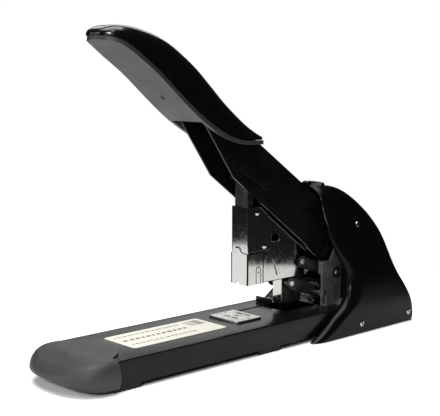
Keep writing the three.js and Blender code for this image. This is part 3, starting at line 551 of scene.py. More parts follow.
for node, body, half, radius, material in (
    ("upper_link_pin", "head", 12.9, 2.5, STEEL), ("lower_link_pin", "head", 12.9, 2.5, STEEL),
    ("driver_pin", "driver", 15.6, 2.4, OILED), ("lower_link_shaft", "base", 19.9, 2.5, STEEL),
):
    turned_node(node, body, material, "brushed_steel", pin_profile(half, radius))
turned_node("handle_shaft", "base", STEEL, "brushed_steel", shaft_profile(22.6, 4, 5.4))
turned_node("upper_link_shaft", "base", STEEL, "brushed_steel", shaft_profile(22.6, 2.5, 3.9))

DOME = [(0, 2.7), (0.35, 2.7), (0.5, 2.5), (0.75, 2.1), (1.0, 1.4), (1.1, 0.7), (1.12, 0)]
RIVET_FACE = 10.2
for node in ("head_rivet_upper", "head_rivet_lower"):
    rivet = [(-RIVET_FACE - away, radius) for away, radius in reversed(DOME)]
    rivet += [(-RIVET_FACE, 1.4), (RIVET_FACE, 1.4)]
    rivet += [(RIVET_FACE + away, radius) for away, radius in DOME]
    turned_node(node, "head", CHROME, "brushed_steel", rivet)

# %% [markdown]
# ## Cross-head screws
# The housing is held by small pan-head screws. The dome is spun like the other turned pieces.
# The dark cross is a thin black plate, a square drawn out on its four sides, that stands about a
# tenth of a millimetre above the dome. It is painted shade in place of the recess: at this size it
# looks like a recess and costs no cutting.

# %% Screws
SCREW_RADIUS = 3.4
CROSS_HEIGHT = 1.68  # just under the top of the dome


def cross_patch(centre, axis, reach_mm, arm_mm, depth_mm):
    """A plus-shaped plate: a square whose four sides are drawn out, then made `depth_mm` thick."""
    bm = bmesh.new()
    bmesh.ops.create_grid(bm, x_segments=1, y_segments=1, size=arm_mm / 2 * MM)
    for edge in list(bm.edges):
        way = (edge.verts[0].co + edge.verts[1].co).normalized()
        arm = bmesh.ops.extrude_edge_only(bm, edges=[edge])["geom"]
        ends = [item for item in arm if isinstance(item, bmesh.types.BMVert)]
        bmesh.ops.translate(bm, verts=ends, vec=way * (reach_mm - arm_mm / 2) * MM)
    raised = bmesh.ops.extrude_face_region(bm, geom=list(bm.faces))["geom"]
    top = [item for item in raised if isinstance(item, bmesh.types.BMVert)]
    bmesh.ops.translate(bm, verts=top, vec=(0, 0, depth_mm * MM))
    bmesh.ops.recalc_face_normals(bm, faces=bm.faces)
    return stood(bm, centre, axis)


def pan_screw(node, body, seat, axis, length):
    """A screw whose head stands on `seat` and whose shank goes `length` mm the other way."""
    radius = SCREW_RADIUS
    profile = [
        (-length, 0), (-length, 1.2), (-length + 1, 1.8), (0, 1.8), (0, radius - 0.1),
        (0.35, radius), (0.9, radius - 0.25), (1.4, radius - 0.8), (1.75, radius - 1.7), (1.85, 0),
    ]
    add_piece(
        f"{node}_turned", turned(profile, seat, axis), body, "chrome", CHROME, replaces=[node]
    )
    face = seat + Vector(axis) * CROSS_HEIGHT * MM
    # painted shade: a black plate where the shaded cross recess would be
    cross = cross_patch(face, axis, reach_mm=1.75, arm_mm=0.75, depth_mm=0.22)
    add_piece(f"{node}_cross", cross, body, "chrome", GAP_AND_SHADE_BLACK)


# %% [markdown]
# ## Housing shells
# Each shell is one moulding. Its skin starts at the throat beside the arm, swells forward to a
# rounded cheek, runs back along the side, turns the rear corner and ends on the centre seam.
# Every height has its own plan, and the smooth curves below say how the plans change.

# %% Housing shape
HOUSING_HALF = [
    (1, 49.4), (4, 50), (21, 50), (34, 49), (46, 47.8), (58, 45.8), (68, 43), (79, 38.7),
    (90, 34.5), (102, 29.7), (112, 25.5), (120, 22.6), (125.5, 20), (129.2, 16.4), (131.2, 11),
    (131.8, 0.3),
]
HOUSING_REAR = [
    (1, 187.8), (4, 188.5), (9, 188.5), (21, 186), (34, 179), (46, 170.5), (58, 164.5),
    (68, 161.8), (79, 160.3), (90, 156.5), (102, 149), (112, 140), (120, 130), (125.5, 121),
    (129.2, 112), (131.2, 103.5), (131.8, 96),
]
HOUSING_CORNER = [(1, 4), (21, 5), (46, 7), (68, 9), (90, 10), (112, 9.5), (125, 8), (132, 4)]
CHEEK_FRONT = [
    (1, 50.5), (6, 60), (12, 69.5), (19.5, 79.5), (27.5, 91.5), (33, 97), (38, 100), (46, 102),
    (54, 101.3), (62, 98.6), (72, 94.3), (82, 91), (94, 88.6), (106, 88), (116, 88.6), (134, 87),
]
CHEEK_HALF = [
    (1, 43.5), (20, 43), (40, 41.5), (60, 37), (80, 31), (94, 27), (110, 21), (123, 17), (134, 1),
]
THROAT_X = [(1, 112), (60, 112), (84, 108), (104, 100), (118, 93), (134, 88)]
THROAT_HALF = [(1, 22.9), (103, 22.9), (109, 16.4), (119, 15.9), (125.5, 15.6), (131.8, 0.3)]
CHEEK_SWEEP = 14
SEAM = 0.15
BASE_TOP, BASE_HALF, BASE_REAR = 23.9, 39.5, 184.3
HOUSING_WALL, HOUSING_FOOT, HOUSING_CELLS = 2.4, 1, 96
ROOF_SHARE, ROOF_START, ROOF_RISE = 0.8, 120, 11.8
CHEEK_LIMIT, CORNER_LIMIT = 0.93, 0.8  # as shares of the half width
THROAT_EDGE, THROAT_BLEND = 24, 4  # the face beside the arm runs back inside this y
# where along a plan each stretch ends: throat, cheek, side, rear corner
STRETCHES = (0.24, 0.46, 0.68, 0.88)


def housing_plan(u, z):
    """The skin's (x, y) at height z, from the throat at u = 0 to the seam at u = 1."""
    half, rear = curve_at(HOUSING_HALF, z), curve_at(HOUSING_REAR, z)
    front, cheek = curve_at(CHEEK_FRONT, z), min(curve_at(CHEEK_HALF, z), half * CHEEK_LIMIT)
    throat, inner = max(curve_at(THROAT_X, z), front), min(curve_at(THROAT_HALF, z), cheek)
    corner = min(curve_at(HOUSING_CORNER, z), half * CORNER_LIMIT)
    t0, t1, t2, t3 = STRETCHES
    if u <= t0:
        y = mix(inner, cheek, u / t0)
        share = clamp((cheek - y) / max(cheek - THROAT_EDGE, THROAT_BLEND))
        return mix(front, throat, share**2 * (3 - 2 * share)), y
    if u <= t1:
        angle = (u - t0) / (t1 - t0) * math.pi / 2
        return front + CHEEK_SWEEP * (1 - math.cos(angle)), mix(cheek, half, math.sin(angle))
    if u <= t2:
        return mix(front + CHEEK_SWEEP, rear - corner, (u - t1) / (t2 - t1)), half
    if u <= t3:
        angle = (u - t2) / (t3 - t2) * math.pi / 2
        return rear - corner * (1 - math.sin(angle)), half - corner * (1 - math.cos(angle))
    return rear, mix(half - corner, SEAM, (u - t3) / (1 - t3))


def housing_height(v):
    """Heights crowd together under the roof, where the skin turns over quickly."""
    if v < ROOF_SHARE:
        return mix(HOUSING_FOOT, ROOF_START, v / ROOF_SHARE)
    turned_over = math.sin((v - ROOF_SHARE) / (1 - ROOF_SHARE) * math.pi / 2)
    return ROOF_START + ROOF_RISE * turned_over


# %% [markdown]
# The skin is cut where the base passes through, then every point is copied inwards to give the
# moulding its wall. Copying point by point keeps the wall even at the sharp throat edge, and
# no point of it may sink below the foot.

# %% Housing shells
def housing_shell(side_name):
    """One half of the housing, from skin to finished moulding."""
    side = SIDES[side_name]

    def place(u, v):
        z = housing_height(v)
        x, y = housing_plan(u, z)
        return point(x, side * y, z)

    bm = pulled_grid(HOUSING_CELLS, HOUSING_CELLS, place)
    cut(bm, point(0, 0, BASE_TOP), (0, 0, 1))
    cut(bm, point(0, side * BASE_HALF, 0), (0, 1, 0))
    cut(bm, point(BASE_REAR, 0, 0), (1, 0, 0))
    inside = [point(BASE_REAR, 0, 0).x, BASE_HALF * MM, BASE_TOP * MM]
    remove_faces(bm, lambda c: c.x < inside[0] and abs(c.y) < inside[1] and c.z < inside[2])
    bmesh.ops.recalc_face_normals(bm, faces=bm.faces)
    if sum(face.normal.y * side for face in bm.faces) < 0:
        bmesh.ops.reverse_faces(bm, faces=bm.faces)
    bm.normal_update()
    lining = bmesh.ops.extrude_face_region(bm, geom=bm.faces[:], use_keep_orig=True)["geom"]
    for item in lining:
        if isinstance(item, bmesh.types.BMVert):
            item.co = item.co - item.normal * HOUSING_WALL * MM
            item.co.z = max(item.co.z, HOUSING_FOOT * MM)
    bmesh.ops.recalc_face_normals(bm, faces=bm.faces)
    piece = add_piece(
        f"housing_shell_{side_name}", bm, "base", "housing_plastic", HOUSING, sharp=50,
        replaces=[f"cover_{side_name}"],
    )
    ease(piece, 0.35, angle=60)
    return piece


SCREW_SEATS = {"top": (125, 94.7, 31.4), "front": (111.5, 9.3, 48.9), "rear": (179.6, 9.5, 48.9)}
for side_name, side in SIDES.items():
    housing_shell(side_name)
    for place, (x, z, seat) in SCREW_SEATS.items():
        pan_screw(
            f"cover_screw_{place}_{side_name}", "base", point(x, side * seat, z), (0, side, 0),
            length=8,
        )
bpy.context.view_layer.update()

# %% [markdown]
# ## Handle
# The lever is a steel channel with a moulded grip. The top shell is glossy and crowned, and it
# thins out to a soft tip; the tray below is matt grey, closes the shell, and carries on as two
# thin rims beside the channel. One screw goes up through the tray.

# %% Handle shape
UNDERSIDE = [
    (-142.5, 254.6), (-136, 253.6), (-128, 250.5), (-110, 238.5), (-97.5, 229.6), (-85, 219.2),
    (-72.5, 208.6), (-60, 198.6), (-51.5, 192.4), (-38, 184), (-28, 179), (-17, 175),
    (-4, 172.6), (14, 172.2), (24, 172.2),
]
CREST = [
    (-142.5, 259.4), (-139, 262.4), (-134, 264.6), (-128.3, 265.7), (-114.5, 265.2),
    (-102.8, 262.9), (-90.8, 259.3), (-78.5, 253.8), (-66, 246), (-53, 236.5), (-40, 224.5),
    (-26.4, 211.3), (-12.4, 199), (2, 187.5), (17, 177.5), (24, 174),
]
GRIP_HALF = [
    (-142.5, 3), (-141, 8.5), (-137.5, 13.6), (-132.5, 17.8), (-126, 20.7), (-116, 22), (24, 22),
]
TIP, GRIP_END = -142.5, 17.5
TIP_CROWDING = 1.25  # above 1, the grid's rows stand closer together at the tip
CROWN_SQUARE, CROWN_FULL = 0.55, 0.7  # below 1, the section is fuller than an ellipse
SHELL_LAP, SHELL_WALL = 0.5, 2.2
SHELL_END, SHELL_END_WAY = point(12.5, 0, 178), Vector((-0.95, 0, 0.3))
TRAY_THICK, TRAY_END, TRAY_REAR, TRAY_INSET, RIM_INNER = 3.4, -51.5, 14, 0.5, 18
GRIP_SCREW_X, SCREW_HOLE, SCREW_SUNK = -75.6, 3.5, 2.4


def crown(u, v):
    """The top shell's skin: u goes over the crown, v from the tip to the rear end."""
    x = mix(TIP, GRIP_END, v**TIP_CROWDING)
    half, low = curve_at(GRIP_HALF, x), curve_at(UNDERSIDE, x) + TRAY_THICK + SHELL_LAP
    angle = u * math.pi
    across = math.copysign(abs(math.cos(angle)) ** CROWN_SQUARE, math.cos(angle))
    rise = math.sin(angle) ** CROWN_FULL
    return point(x, half * across, low + (curve_at(CREST, x) - low) * rise)


shell_bm = pulled_grid(48, 90, crown)
cut(shell_bm, SHELL_END, SHELL_END_WAY)
remove_faces(shell_bm, lambda c: (c - SHELL_END).dot(SHELL_END_WAY) < 0)
top_shell = add_piece(
    "handle_top_moulding", shell_bm, "handle", "handle_gloss", GLOSS, sharp=60,
    replaces=["handle_top_shell"],
)
thicken(top_shell, SHELL_WALL)
ease(top_shell, 0.4, angle=60)

# %% [markdown]
# The tray is the grip's lower half, a matt plate that follows the underside of the lever. One
# grid point is opened into a round hole for the screw, and the rear part keeps only its two
# rims, because the steel channel lies between them.

# %% Grip tray
TRAY_COLUMNS, TRAY_ROWS = 8, 36
screw_place = point(GRIP_SCREW_X, 0, curve_at(UNDERSIDE, GRIP_SCREW_X))


def tray_skin(u, v):
    """u goes across the tray, v from the tip to the rear end."""
    x = mix(TIP, TRAY_REAR, v)
    half = curve_at(GRIP_HALF, x) - TRAY_INSET
    return point(x, (2 * u - 1) * half, curve_at(UNDERSIDE, x))


tray_bm = pulled_grid(TRAY_COLUMNS, TRAY_ROWS, tray_skin)
if tray_bm.faces[:][0].normal.z > 0:
    bmesh.ops.reverse_faces(tray_bm, faces=tray_bm.faces)
hole = min(tray_bm.verts, key=lambda vert: (vert.co - screw_place).length)
hole.co = screw_place
rim = bmesh.ops.bevel(
    tray_bm, geom=[hole], offset=SCREW_HOLE * MM, offset_type="OFFSET", segments=6, profile=0.5,
    affect="VERTICES", clamp_overlap=False, material=-1,
)
bmesh.ops.delete(tray_bm, geom=rim["faces"], context="FACES")
for y in (-RIM_INNER, RIM_INNER):
    cut(tray_bm, point(0, y, 0), (0, 1, 0))
cut(tray_bm, point(TRAY_END, 0, 0), (1, 0, 0))
remove_faces(tray_bm, lambda c: c.x > point(TRAY_END, 0, 0).x and abs(c.y) < RIM_INNER * MM)
tray = add_piece(
    "handle_tray_moulding", tray_bm, "handle", "grey_plastic", GREY, sharp=50,
    replaces=["handle_grip_tray"],
)
thicken(tray, TRAY_THICK)
ease(tray, 0.5, segments=3, angle=50)

grip_slope = math.atan2(
    curve_at(UNDERSIDE, GRIP_SCREW_X + 1) - curve_at(UNDERSIDE, GRIP_SCREW_X - 1), 2
)
grip_axis = Vector((math.sin(grip_slope), 0, -math.cos(grip_slope)))
grip_seat = screw_place - grip_axis * SCREW_SUNK * MM
add_piece(
    "handle_screw_turned",
    turned([(-11, 0), (-11, 1.2), (-10, 1.8), (0, 1.8), (0, 3.1), (0.9, 3.1), (1.4, 2.2), (1.5, 0)],
           grip_seat, grip_axis),
    "handle", "dark_steel", OILED, replaces=["handle_screw"],
)
# The boss round the shank is flat black as painted shade, so the screw hole reads dark.
add_piece(
    "handle_screw_boss_shade",
    turned([(-7.5, 4.6), (-7.5, 2.1), (-0.9, 2.1), (-0.9, 4.6), (-7.5, 4.6)], grip_seat, grip_axis),
    "handle", "handle_gloss", GAP_AND_SHADE_BLACK,
)
print("grip slope:", round(math.degrees(grip_slope), 1), "degrees at the screw")

# %% [markdown]
# ## Nose cap
# The cap is a blunt oval moulding that closes the base's front end. Its skin runs up the bulged
# side, rolls over a soft shoulder and crosses the top, where it laps over the base as a rounded
# tongue with a small scoop at each side.

# %% Nose cap
CAP_SIDE = [
    (0, 5), (0.08, 1.5), (0.2, 0), (0.34, 1.1), (0.46, 4.2), (0.56, 8.5), (0.68, 15), (1, 43),
]
CAP_HEIGHT = [
    (0, 3.4), (0.08, 7), (0.2, 12), (0.34, 17.2), (0.46, 21), (0.56, 23.4), (0.68, 24.8), (1, 25.4),
]
CAP_HALF, CAP_CENTRE, CAP_JOIN, CAP_POWER = 43, -159, -151.5, 2.3
CAP_STRAIGHT = 0.14  # share of the way round that each straight side takes
CAP_WALL = 1.2
CAP_ROLL = 17  # how far in the skin has come when the level top begins
NOSE_DRAW = 0.72  # the nose draws in less than the sides do
FOOT_SHARE, FOOT_DRAW, FOOT_LIFT = 0.2, 12, 2  # the foot tucks under at the nose
SHOULDER_START, SHOULDER_DROP = 0.12, 5.5  # and the shoulder slopes down to it
LOBE_CENTRE, LOBE_RADIUS = -165.4, 34.9
SCOOP, SCOOP_DEPTH = (30.5, 36.5), 2.2  # from the tongue's foot out to the side joint


def cap_rear(y):
    """Where the skin ends towards the rear, at a distance y from the middle."""
    tongue = LOBE_CENTRE + math.sqrt(max(LOBE_RADIUS**2 - min(y, SCOOP[0]) ** 2, 0))
    if y <= SCOOP[0]:
        return tongue
    share = clamp((y - SCOOP[0]) / (SCOOP[1] - SCOOP[0]))
    return mix(tongue, CAP_JOIN, share) - SCOOP_DEPTH * math.sin(share * math.pi)


def cap_skin(u, v):
    """u goes round from the left joint over the nose to the right joint, v from foot to top."""
    bow = math.sin(clamp((u - CAP_STRAIGHT) / (1 - 2 * CAP_STRAIGHT)) * math.pi) ** 2
    foot = max(1 - v / FOOT_SHARE, 0)
    draw = curve_at(CAP_SIDE, v) + FOOT_DRAW * bow * foot**1.3
    height = curve_at(CAP_HEIGHT, v) + FOOT_LIFT * bow * foot
    slope = clamp((v - SHOULDER_START) / (1 - SHOULDER_START))
    height -= SHOULDER_DROP * bow * math.sin(slope * math.pi)
    sideways = 0.5 if draw < CAP_ROLL else mix(0.5, 1, (draw - CAP_ROLL) / (CAP_HALF - CAP_ROLL))
    width = CAP_HALF - draw * sideways
    length = (CAP_CENTRE - NOSE) * (1 - draw / CAP_HALF * NOSE_DRAW)
    rear = cap_rear(width) if v > 0.5 else CAP_JOIN
    if u < CAP_STRAIGHT:
        return point(mix(rear, CAP_CENTRE, u / CAP_STRAIGHT), width, height)
    if u > 1 - CAP_STRAIGHT:
        return point(mix(rear, CAP_CENTRE, (1 - u) / CAP_STRAIGHT), -width, height)
    angle = (u - CAP_STRAIGHT) / (1 - 2 * CAP_STRAIGHT) * math.pi
    x = CAP_CENTRE - length * math.sin(angle) ** (2 / CAP_POWER)
    y = width * math.copysign(abs(math.cos(angle)) ** (2 / CAP_POWER), math.cos(angle))
    return point(x, y, height)


cap = add_piece(
    "nose_cap_moulding", pulled_grid(96, 56, cap_skin), "base", "grey_plastic", GREY, sharp=60,
    replaces=["nose_cap"],
)
thicken(cap, CAP_WALL)
ease(cap, 0.3, angle=60)

# %% [markdown]
# ## Head
# Two bent sheets wrap the front of the head. The upper one is fixed; the lower one is the nose
# of the magazine drawer, which pulls out to the front. They meet at a line with one hump.

# %% Bent sheets
HEAD_HALF = 10.2
PARTING = [(-11, 78.9), (-7, 78.9), (-1.5, 80), (0.5, 83.4), (5, 83.4), (7, 80.4), (11, 80.4)]
SLEEVE = {"front": 7.8, "rear": 31.3, "low": 80.2, "top": 118.7}
DRAWER = {"front": 7.0, "rear": 25.5, "low": 51.6, "top": 78.4}
BEND, SHEET_WALL = 1.6, 0.8
PARTING_REACH, PARTING_GAP, HUMP_TOP = 4, 0.3, 83.2  # the hump fades out round the bend
ARCH_MIDDLE, ARCH_HALF, ARCH_RISE = 2.5, 2.0, 3.0


def around_front(u, front, rear):
    """A place on a U-shaped plan, from the left rear edge round the front to the right."""
    side, arc, face = rear - front - BEND, BEND * math.pi / 2, 2 * (HEAD_HALF - BEND)
    away = u * (2 * side + 2 * arc + face)
    mirrored = away > side + arc + face / 2
    if mirrored:
        away = 2 * side + 2 * arc + face - away
    if away <= side:
        x, y = rear - away, HEAD_HALF
    elif away <= side + arc:
        angle = (away - side) / BEND
        x = front + BEND * (1 - math.sin(angle))
        y = HEAD_HALF - BEND * (1 - math.cos(angle))
    else:
        x, y = front, HEAD_HALF - BEND - (away - side - arc)
    return x, -y if mirrored else y


def sleeve_skin(u, v):
    """The fixed upper sheet; its lower edge follows the parting line."""
    x, y = around_front(u, SLEEVE["front"], SLEEVE["rear"])
    share = clamp((x - SLEEVE["front"]) / PARTING_REACH)
    low = mix(curve_at(PARTING, y) + PARTING_GAP, SLEEVE["low"], share)
    return point(x, y, mix(low, SLEEVE["top"], v))


def drawer_skin(u, v):
    """The drawer's nose; a small arch in its foot lets the staple out."""
    x, y = around_front(u, DRAWER["front"], DRAWER["rear"])
    share = clamp((x - DRAWER["front"]) / PARTING_REACH)
    low = DRAWER["low"]
    if x < DRAWER["front"] + 0.1 and abs(y - ARCH_MIDDLE) < ARCH_HALF:
        low += ARCH_RISE * math.sqrt(1 - ((y - ARCH_MIDDLE) / ARCH_HALF) ** 2)
    top = mix(min(curve_at(PARTING, y), HUMP_TOP), DRAWER["top"], share)
    return point(x, y, mix(low, top, v))


sleeve = add_piece(
    "head_sleeve_sheet", pulled_grid(150, 24, sleeve_skin), "head", "chrome", CHROME, sharp=50,
    replaces=["head_sleeve"],
)
drawer_nose = add_piece(
    "drawer_nose_sheet", pulled_grid(150, 24, drawer_skin), "drawer", "brushed_steel", CHROME,
    sharp=50, replaces=["magazine_drawer"],
)
for sheet in (sleeve, drawer_nose):
    thicken(sheet, SHEET_WALL)
    ease(sheet, 0.15, angle=60)


# %% [markdown]
# Behind the nose lie plain strips: the drawer's two rails, the carrier's front plate and the
# printed gauge. Each is a box or a row of boxes, because a strip this narrow shows no bend.

# %% Boxes and flat marks
def block(bm, x, y, z):
    """Adds a box that spans the pairs x, y and z, in drawing millimetres."""
    made = bmesh.ops.create_cube(bm, size=1)["verts"]
    for vert in made:
        share = vert.co + Vector((0.5, 0.5, 0.5))
        vert.co = point(mix(*x, share.x), mix(*y, share.y), mix(*z, share.z))


rails = bmesh.new()
for side in SIDES.values():
    block(rails, (7.9, 70), sorted((side * 7, side * 7.9)), (53, 70))
ease(add_piece("drawer_rails", rails, "drawer", "brushed_steel", STEEL), 0.15)

carrier_face = bmesh.new()
block(carrier_face, (53.7, 54.1), (-5.2, 5.2), (30, 51.4))
ease(add_piece("carrier_front_plate", carrier_face, "head", "dark_steel", CHROME), 0.12)

# A row of small strokes runs down beside the gauge slot in each cheek of the head.
GAUGE_TOP, GAUGE_LOW, GAUGE_STROKES = (41.4, 71), (46.2, 58), 7
for side_name, side in SIDES.items():
    marks = bmesh.new()
    for step in range(GAUGE_STROKES):
        x, z = (mix(a, b, step / (GAUGE_STROKES - 1)) for a, b in zip(GAUGE_TOP, GAUGE_LOW))
        block(marks, (x, x + 1.7), sorted((side * 9.15, side * 9.23)), (z, z + 0.45))
    add_piece(f"gauge_marks_{side_name}", marks, "head", "chrome", INK)


# %% [markdown]
# ## Wound wire
# A spring is a circle carried along a path. The path is a list of points, dense enough to look
# smooth, and the circle is kept square to it by one vector that never lies along the wire.

# %% Wire
COIL_STEPS = 28  # per turn


def straight(start, end, steps):
    """Points at even steps on the line between two places."""
    return [
        Vector([mix(a, b, step / steps) for a, b in zip(start, end)]) for step in range(steps + 1)
    ]


def along_points(points, count):
    """Points at even steps along the smooth curve through the given ones."""
    stations = [
        [(index, place[axis]) for index, place in enumerate(points)] for axis in range(3)
    ]
    last = len(points) - 1
    return [
        Vector([curve_at(station, last * step / count) for station in stations])
        for step in range(count + 1)
    ]


def coil(x, z, radius, y0, y1, turns, end_angle, way):
    """A helix about the y axis through (x, z); it ends at end_angle, in degrees."""
    count = int(turns * COIL_STEPS)
    path = []
    for step in range(count + 1):
        share = step / count
        angle = math.radians(end_angle) - way * (1 - share) * turns * math.tau
        path.append(Vector((x + radius * math.cos(angle), mix(y0, y1, share),
                            z + radius * math.sin(angle))))
    return path


def swept(path, radius_mm, sides=10, square_to=(0, 1, 0)):
    """A closed round wire along a dense path in drawing millimetres."""
    reference = Vector(square_to)
    rings = len(path) - 1

    def place(u, v):
        index = round(v * rings)
        here = path[index]
        ahead = path[min(index + 1, rings)] - path[max(index - 1, 0)]
        out = ahead.cross(reference).normalized()
        up = out.cross(ahead).normalized()
        angle = u * math.tau
        return point(*(here + radius_mm * (math.cos(angle) * out + math.sin(angle) * up)))

    bm = pulled_grid(sides, rings, place)
    ends = [edge for edge in bm.edges if edge.is_boundary]
    bmesh.ops.holes_fill(bm, edges=ends, sides=sides + 2)
    bmesh.ops.recalc_face_normals(bm, faces=bm.faces)
    return bm


RETURN_AT, LIFT_AT, HANDLE_AT = (95, 34), (108.7, 52), (118, 88)
LINK, LINK_RISE = 38, math.radians(20)  # from the lower shaft to the eye that the wire lifts
RETURN_LEG = [
    (-1.2, 6.4, -10.1), (-9, 6.8, -6.8), (-20, 6.9, 1.5),
    (1.7 - LINK * math.cos(LINK_RISE), 6.9, LINK * math.sin(LINK_RISE) - 3.6),
]
LIFT_LEG = [
    (-1, 15.8, 4.8), (-5, 15, 5.8), (-9, 13.5, 8.5), (-13, 11.8, 13), (-20, 11.5, 18),
    (-31.5, 11.5, 26.6),
]
HANDLE_LEG = [(-0.4, 6.5, 6.4), (-8, 6.5, 8.2), (-16, 6.5, 14.5), (-24, 6.5, 20.5)]


def with_leg(turns, centre, leg, count, side=1):
    """A coil's path and then its leg; a leg's points are measured from the coil's axis."""
    x, z = centre
    places = [Vector((x + dx, side * y, z + dz)) for dx, y, dz in leg]
    return turns[:-1] + along_points(places, count)


path = with_leg(coil(*RETURN_AT, 10.1, -6.2, 6.4, 4, -95, -1), RETURN_AT, RETURN_LEG, 30)
add_piece("return_spring_wire", swept(path, 1.15, 12), "lower_link", "chrome", WIRE,
          replaces=["return_spring"])
for side_name, side in SIDES.items():
    turns = coil(*LIFT_AT, 4.9, side * 17.1, side * 15.9, 2, 98, 1)
    path = with_leg(turns, LIFT_AT, LIFT_LEG, 50, side)
    add_piece(f"lift_spring_{side_name}_wire", swept(path, 0.66), "upper_link", "chrome", WIRE,
              replaces=[f"lift_spring_{side_name}"])
path = with_leg(coil(*HANDLE_AT, 6.4, -6.6, 6.5, 5, 92, 1), HANDLE_AT, HANDLE_LEG, 30)
add_piece("handle_spring_wire", swept(path, 0.9), "handle", "dark_steel", OILED,
          replaces=["handle_spring"])

# The pusher's spring lies along the core, and it gets a mesh of its own.
PUSHER_FRONT, PUSHER_REAR, PUSHER_STOP, PUSHER_Z = 28.2, 68, 68.5, 60
PUSHER_RADIUS, PUSHER_TURNS, TURN_STEPS = 3.2, 7, 24
path = []
for step in range(PUSHER_TURNS * TURN_STEPS + 1):
    angle = step / TURN_STEPS * math.tau
    path.append(Vector((
        mix(PUSHER_FRONT, PUSHER_REAR, step / (PUSHER_TURNS * TURN_STEPS)),
        PUSHER_RADIUS * math.cos(angle), PUSHER_Z + PUSHER_RADIUS * math.sin(angle),
    )))
pusher_wire = add_piece("pusher_spring_wire", swept(path, 0.5, 8, (1, 0, 0)), "head",
                        "brushed_steel", WIRE, replaces=["pusher_spring"])
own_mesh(pusher_wire)
print("pusher spring:", len(path), "stations on", PUSHER_TURNS, "turns")

# %% [markdown]
# ## Edge lines on the head
# Bright sheet shows its joints as dark hairlines: the tongue in the drawer's cheek and the
# parting between the sheets. Each is a thin dark wire half sunk in the surface; the same wire
# gives painted dark reflection along the bend at each front corner and painted shade along the
# foot of each cheek plate. The window's rim is the same wire in bright plate.

# %% Lines and dots on the cheeks
CHEEK_SLOTS = {"drawer": "brushed_steel", "head": "chrome"}
PLATE_HALF, CORNER_SET = 9.2, BEND * 0.35
TONGUE = [(17.4, 52), (17.3, 60), (17.7, 65), (20, 66.8), (22.4, 65), (22.9, 60), (22.8, 52)]
WINDOW = [(36.5, 86.6), (46.1, 86.6), (46.1, 93), (36.5, 93), (36.5, 86.6)]
CHEEK_LINES = (  # name, body, distance from the middle, (x, z) at both ends, wire radius
    ("drawer_rear_line", "drawer", HEAD_HALF, (25.7, 52), (25.7, 78.2), 0.4),
    ("parting_line", "head", HEAD_HALF - 0.2, (9.5, 79.4), (26, 79.4), 0.5),
    # The foot line is painted shade along the cheek plate's lower edge.
    ("cheek_foot_line", "head", PLATE_HALF, (26.5, 52.2), (80, 52.2), 0.32),
)
# The bend lines are painted dark reflection; the sheet has no joint there.
CORNER_SHADE_LINES = (  # name, body, front of the sheet, z at both ends, wire radius
    ("drawer", "drawer", DRAWER["front"], 52, 78.6, 0.8),
    ("sleeve", "head", SLEEVE["front"], 80.4, 118.4, 0.55),
)
for side_name, side in SIDES.items():
    path = along_points([Vector((x, side * (HEAD_HALF - 0.3), z)) for x, z in TONGUE], 40)
    add_piece(f"tongue_line_{side_name}", swept(path, 0.5, 8), "drawer", "brushed_steel",
              GAP_AND_SHADE_BLACK)
    for name, body, front, z0, z1, radius in CORNER_SHADE_LINES:
        x, y = front + CORNER_SET, side * (HEAD_HALF - CORNER_SET)
        line = straight((x, y, z0), (x, y, z1), 8)
        add_piece(f"{name}_corner_shade_line_{side_name}", swept(line, radius, 6), body,
                  CHEEK_SLOTS[body], GAP_AND_SHADE_BLACK)
    for name, body, skin, (x0, z0), (x1, z1), radius in CHEEK_LINES:
        line = straight((x0, side * skin, z0), (x1, side * skin, z1), 8)
        add_piece(f"{name}_{side_name}", swept(line, radius, 6), body, CHEEK_SLOTS[body],
                  GAP_AND_SHADE_BLACK)
    for number, ((x0, z0), (x1, z1)) in enumerate(zip(WINDOW, WINDOW[1:])):
        rim = straight((x0, side * PLATE_HALF, z0), (x1, side * PLATE_HALF, z1), 6)
        add_piece(f"window_rim_{number}_{side_name}", swept(rim, 0.3, 6), "head", "chrome", CHROME)
    # The dark disc is painted shade in a small hollow of the drawer's cheek.
    dot = turned([(0, 0), (0, 0.8), (0.06, 0.8), (0.06, 0)],
                 point(20, side * HEAD_HALF, 62), (0, side, 0))
    add_piece(f"tongue_dot_shade_{side_name}", dot, "drawer", "brushed_steel", GAP_AND_SHADE_BLACK)

# %% [markdown]
# ## Shields over the arm's slots
# A driver pin works in a slot in each side of the arm. A shallow pressed cup closes the slot, so
# that nothing shows through. Its outline is a circle at each end of the slot, joined up.

# %% Shields over the arm's cam slots
SLOT_START, SLOT_END, SHIELD_RADIUS = (-3, 155.2), (24.85, 137.7), 4.7
SHIELD_FACE, SHIELD_DEPTH, ROUND_STEPS = 16.2, 1.45, 12
slot_turn = math.atan2(SLOT_END[1] - SLOT_START[1], SLOT_END[0] - SLOT_START[0])
for side_name, side in SIDES.items():
    shield = bmesh.new()
    ring = []
    for centre, turn in ((SLOT_END, slot_turn), (SLOT_START, slot_turn + math.pi)):
        for step in range(ROUND_STEPS + 1):
            angle = turn - math.pi / 2 + step / ROUND_STEPS * math.pi
            ring.append(shield.verts.new(point(
                centre[0] + SHIELD_RADIUS * math.cos(angle), side * SHIELD_FACE,
                centre[1] + SHIELD_RADIUS * math.sin(angle))))
    face = shield.faces.new(ring)
    wall = bmesh.ops.extrude_edge_only(shield, edges=list(face.edges))["geom"]
    foot_verts = [item for item in wall if isinstance(item, bmesh.types.BMVert)]
    bmesh.ops.translate(shield, verts=foot_verts, vec=(0, side * -SHIELD_DEPTH * MM, 0))
    bmesh.ops.recalc_face_normals(shield, faces=shield.faces)
    if face.normal.y * side < 0:
        bmesh.ops.reverse_faces(shield, faces=shield.faces)
    cover = add_piece(f"cam_slot_shield_{side_name}", shield, "handle", "black_steel", PAINT)
    thicken(cover, 0.4)
    ease(cover, 0.2, angle=60)
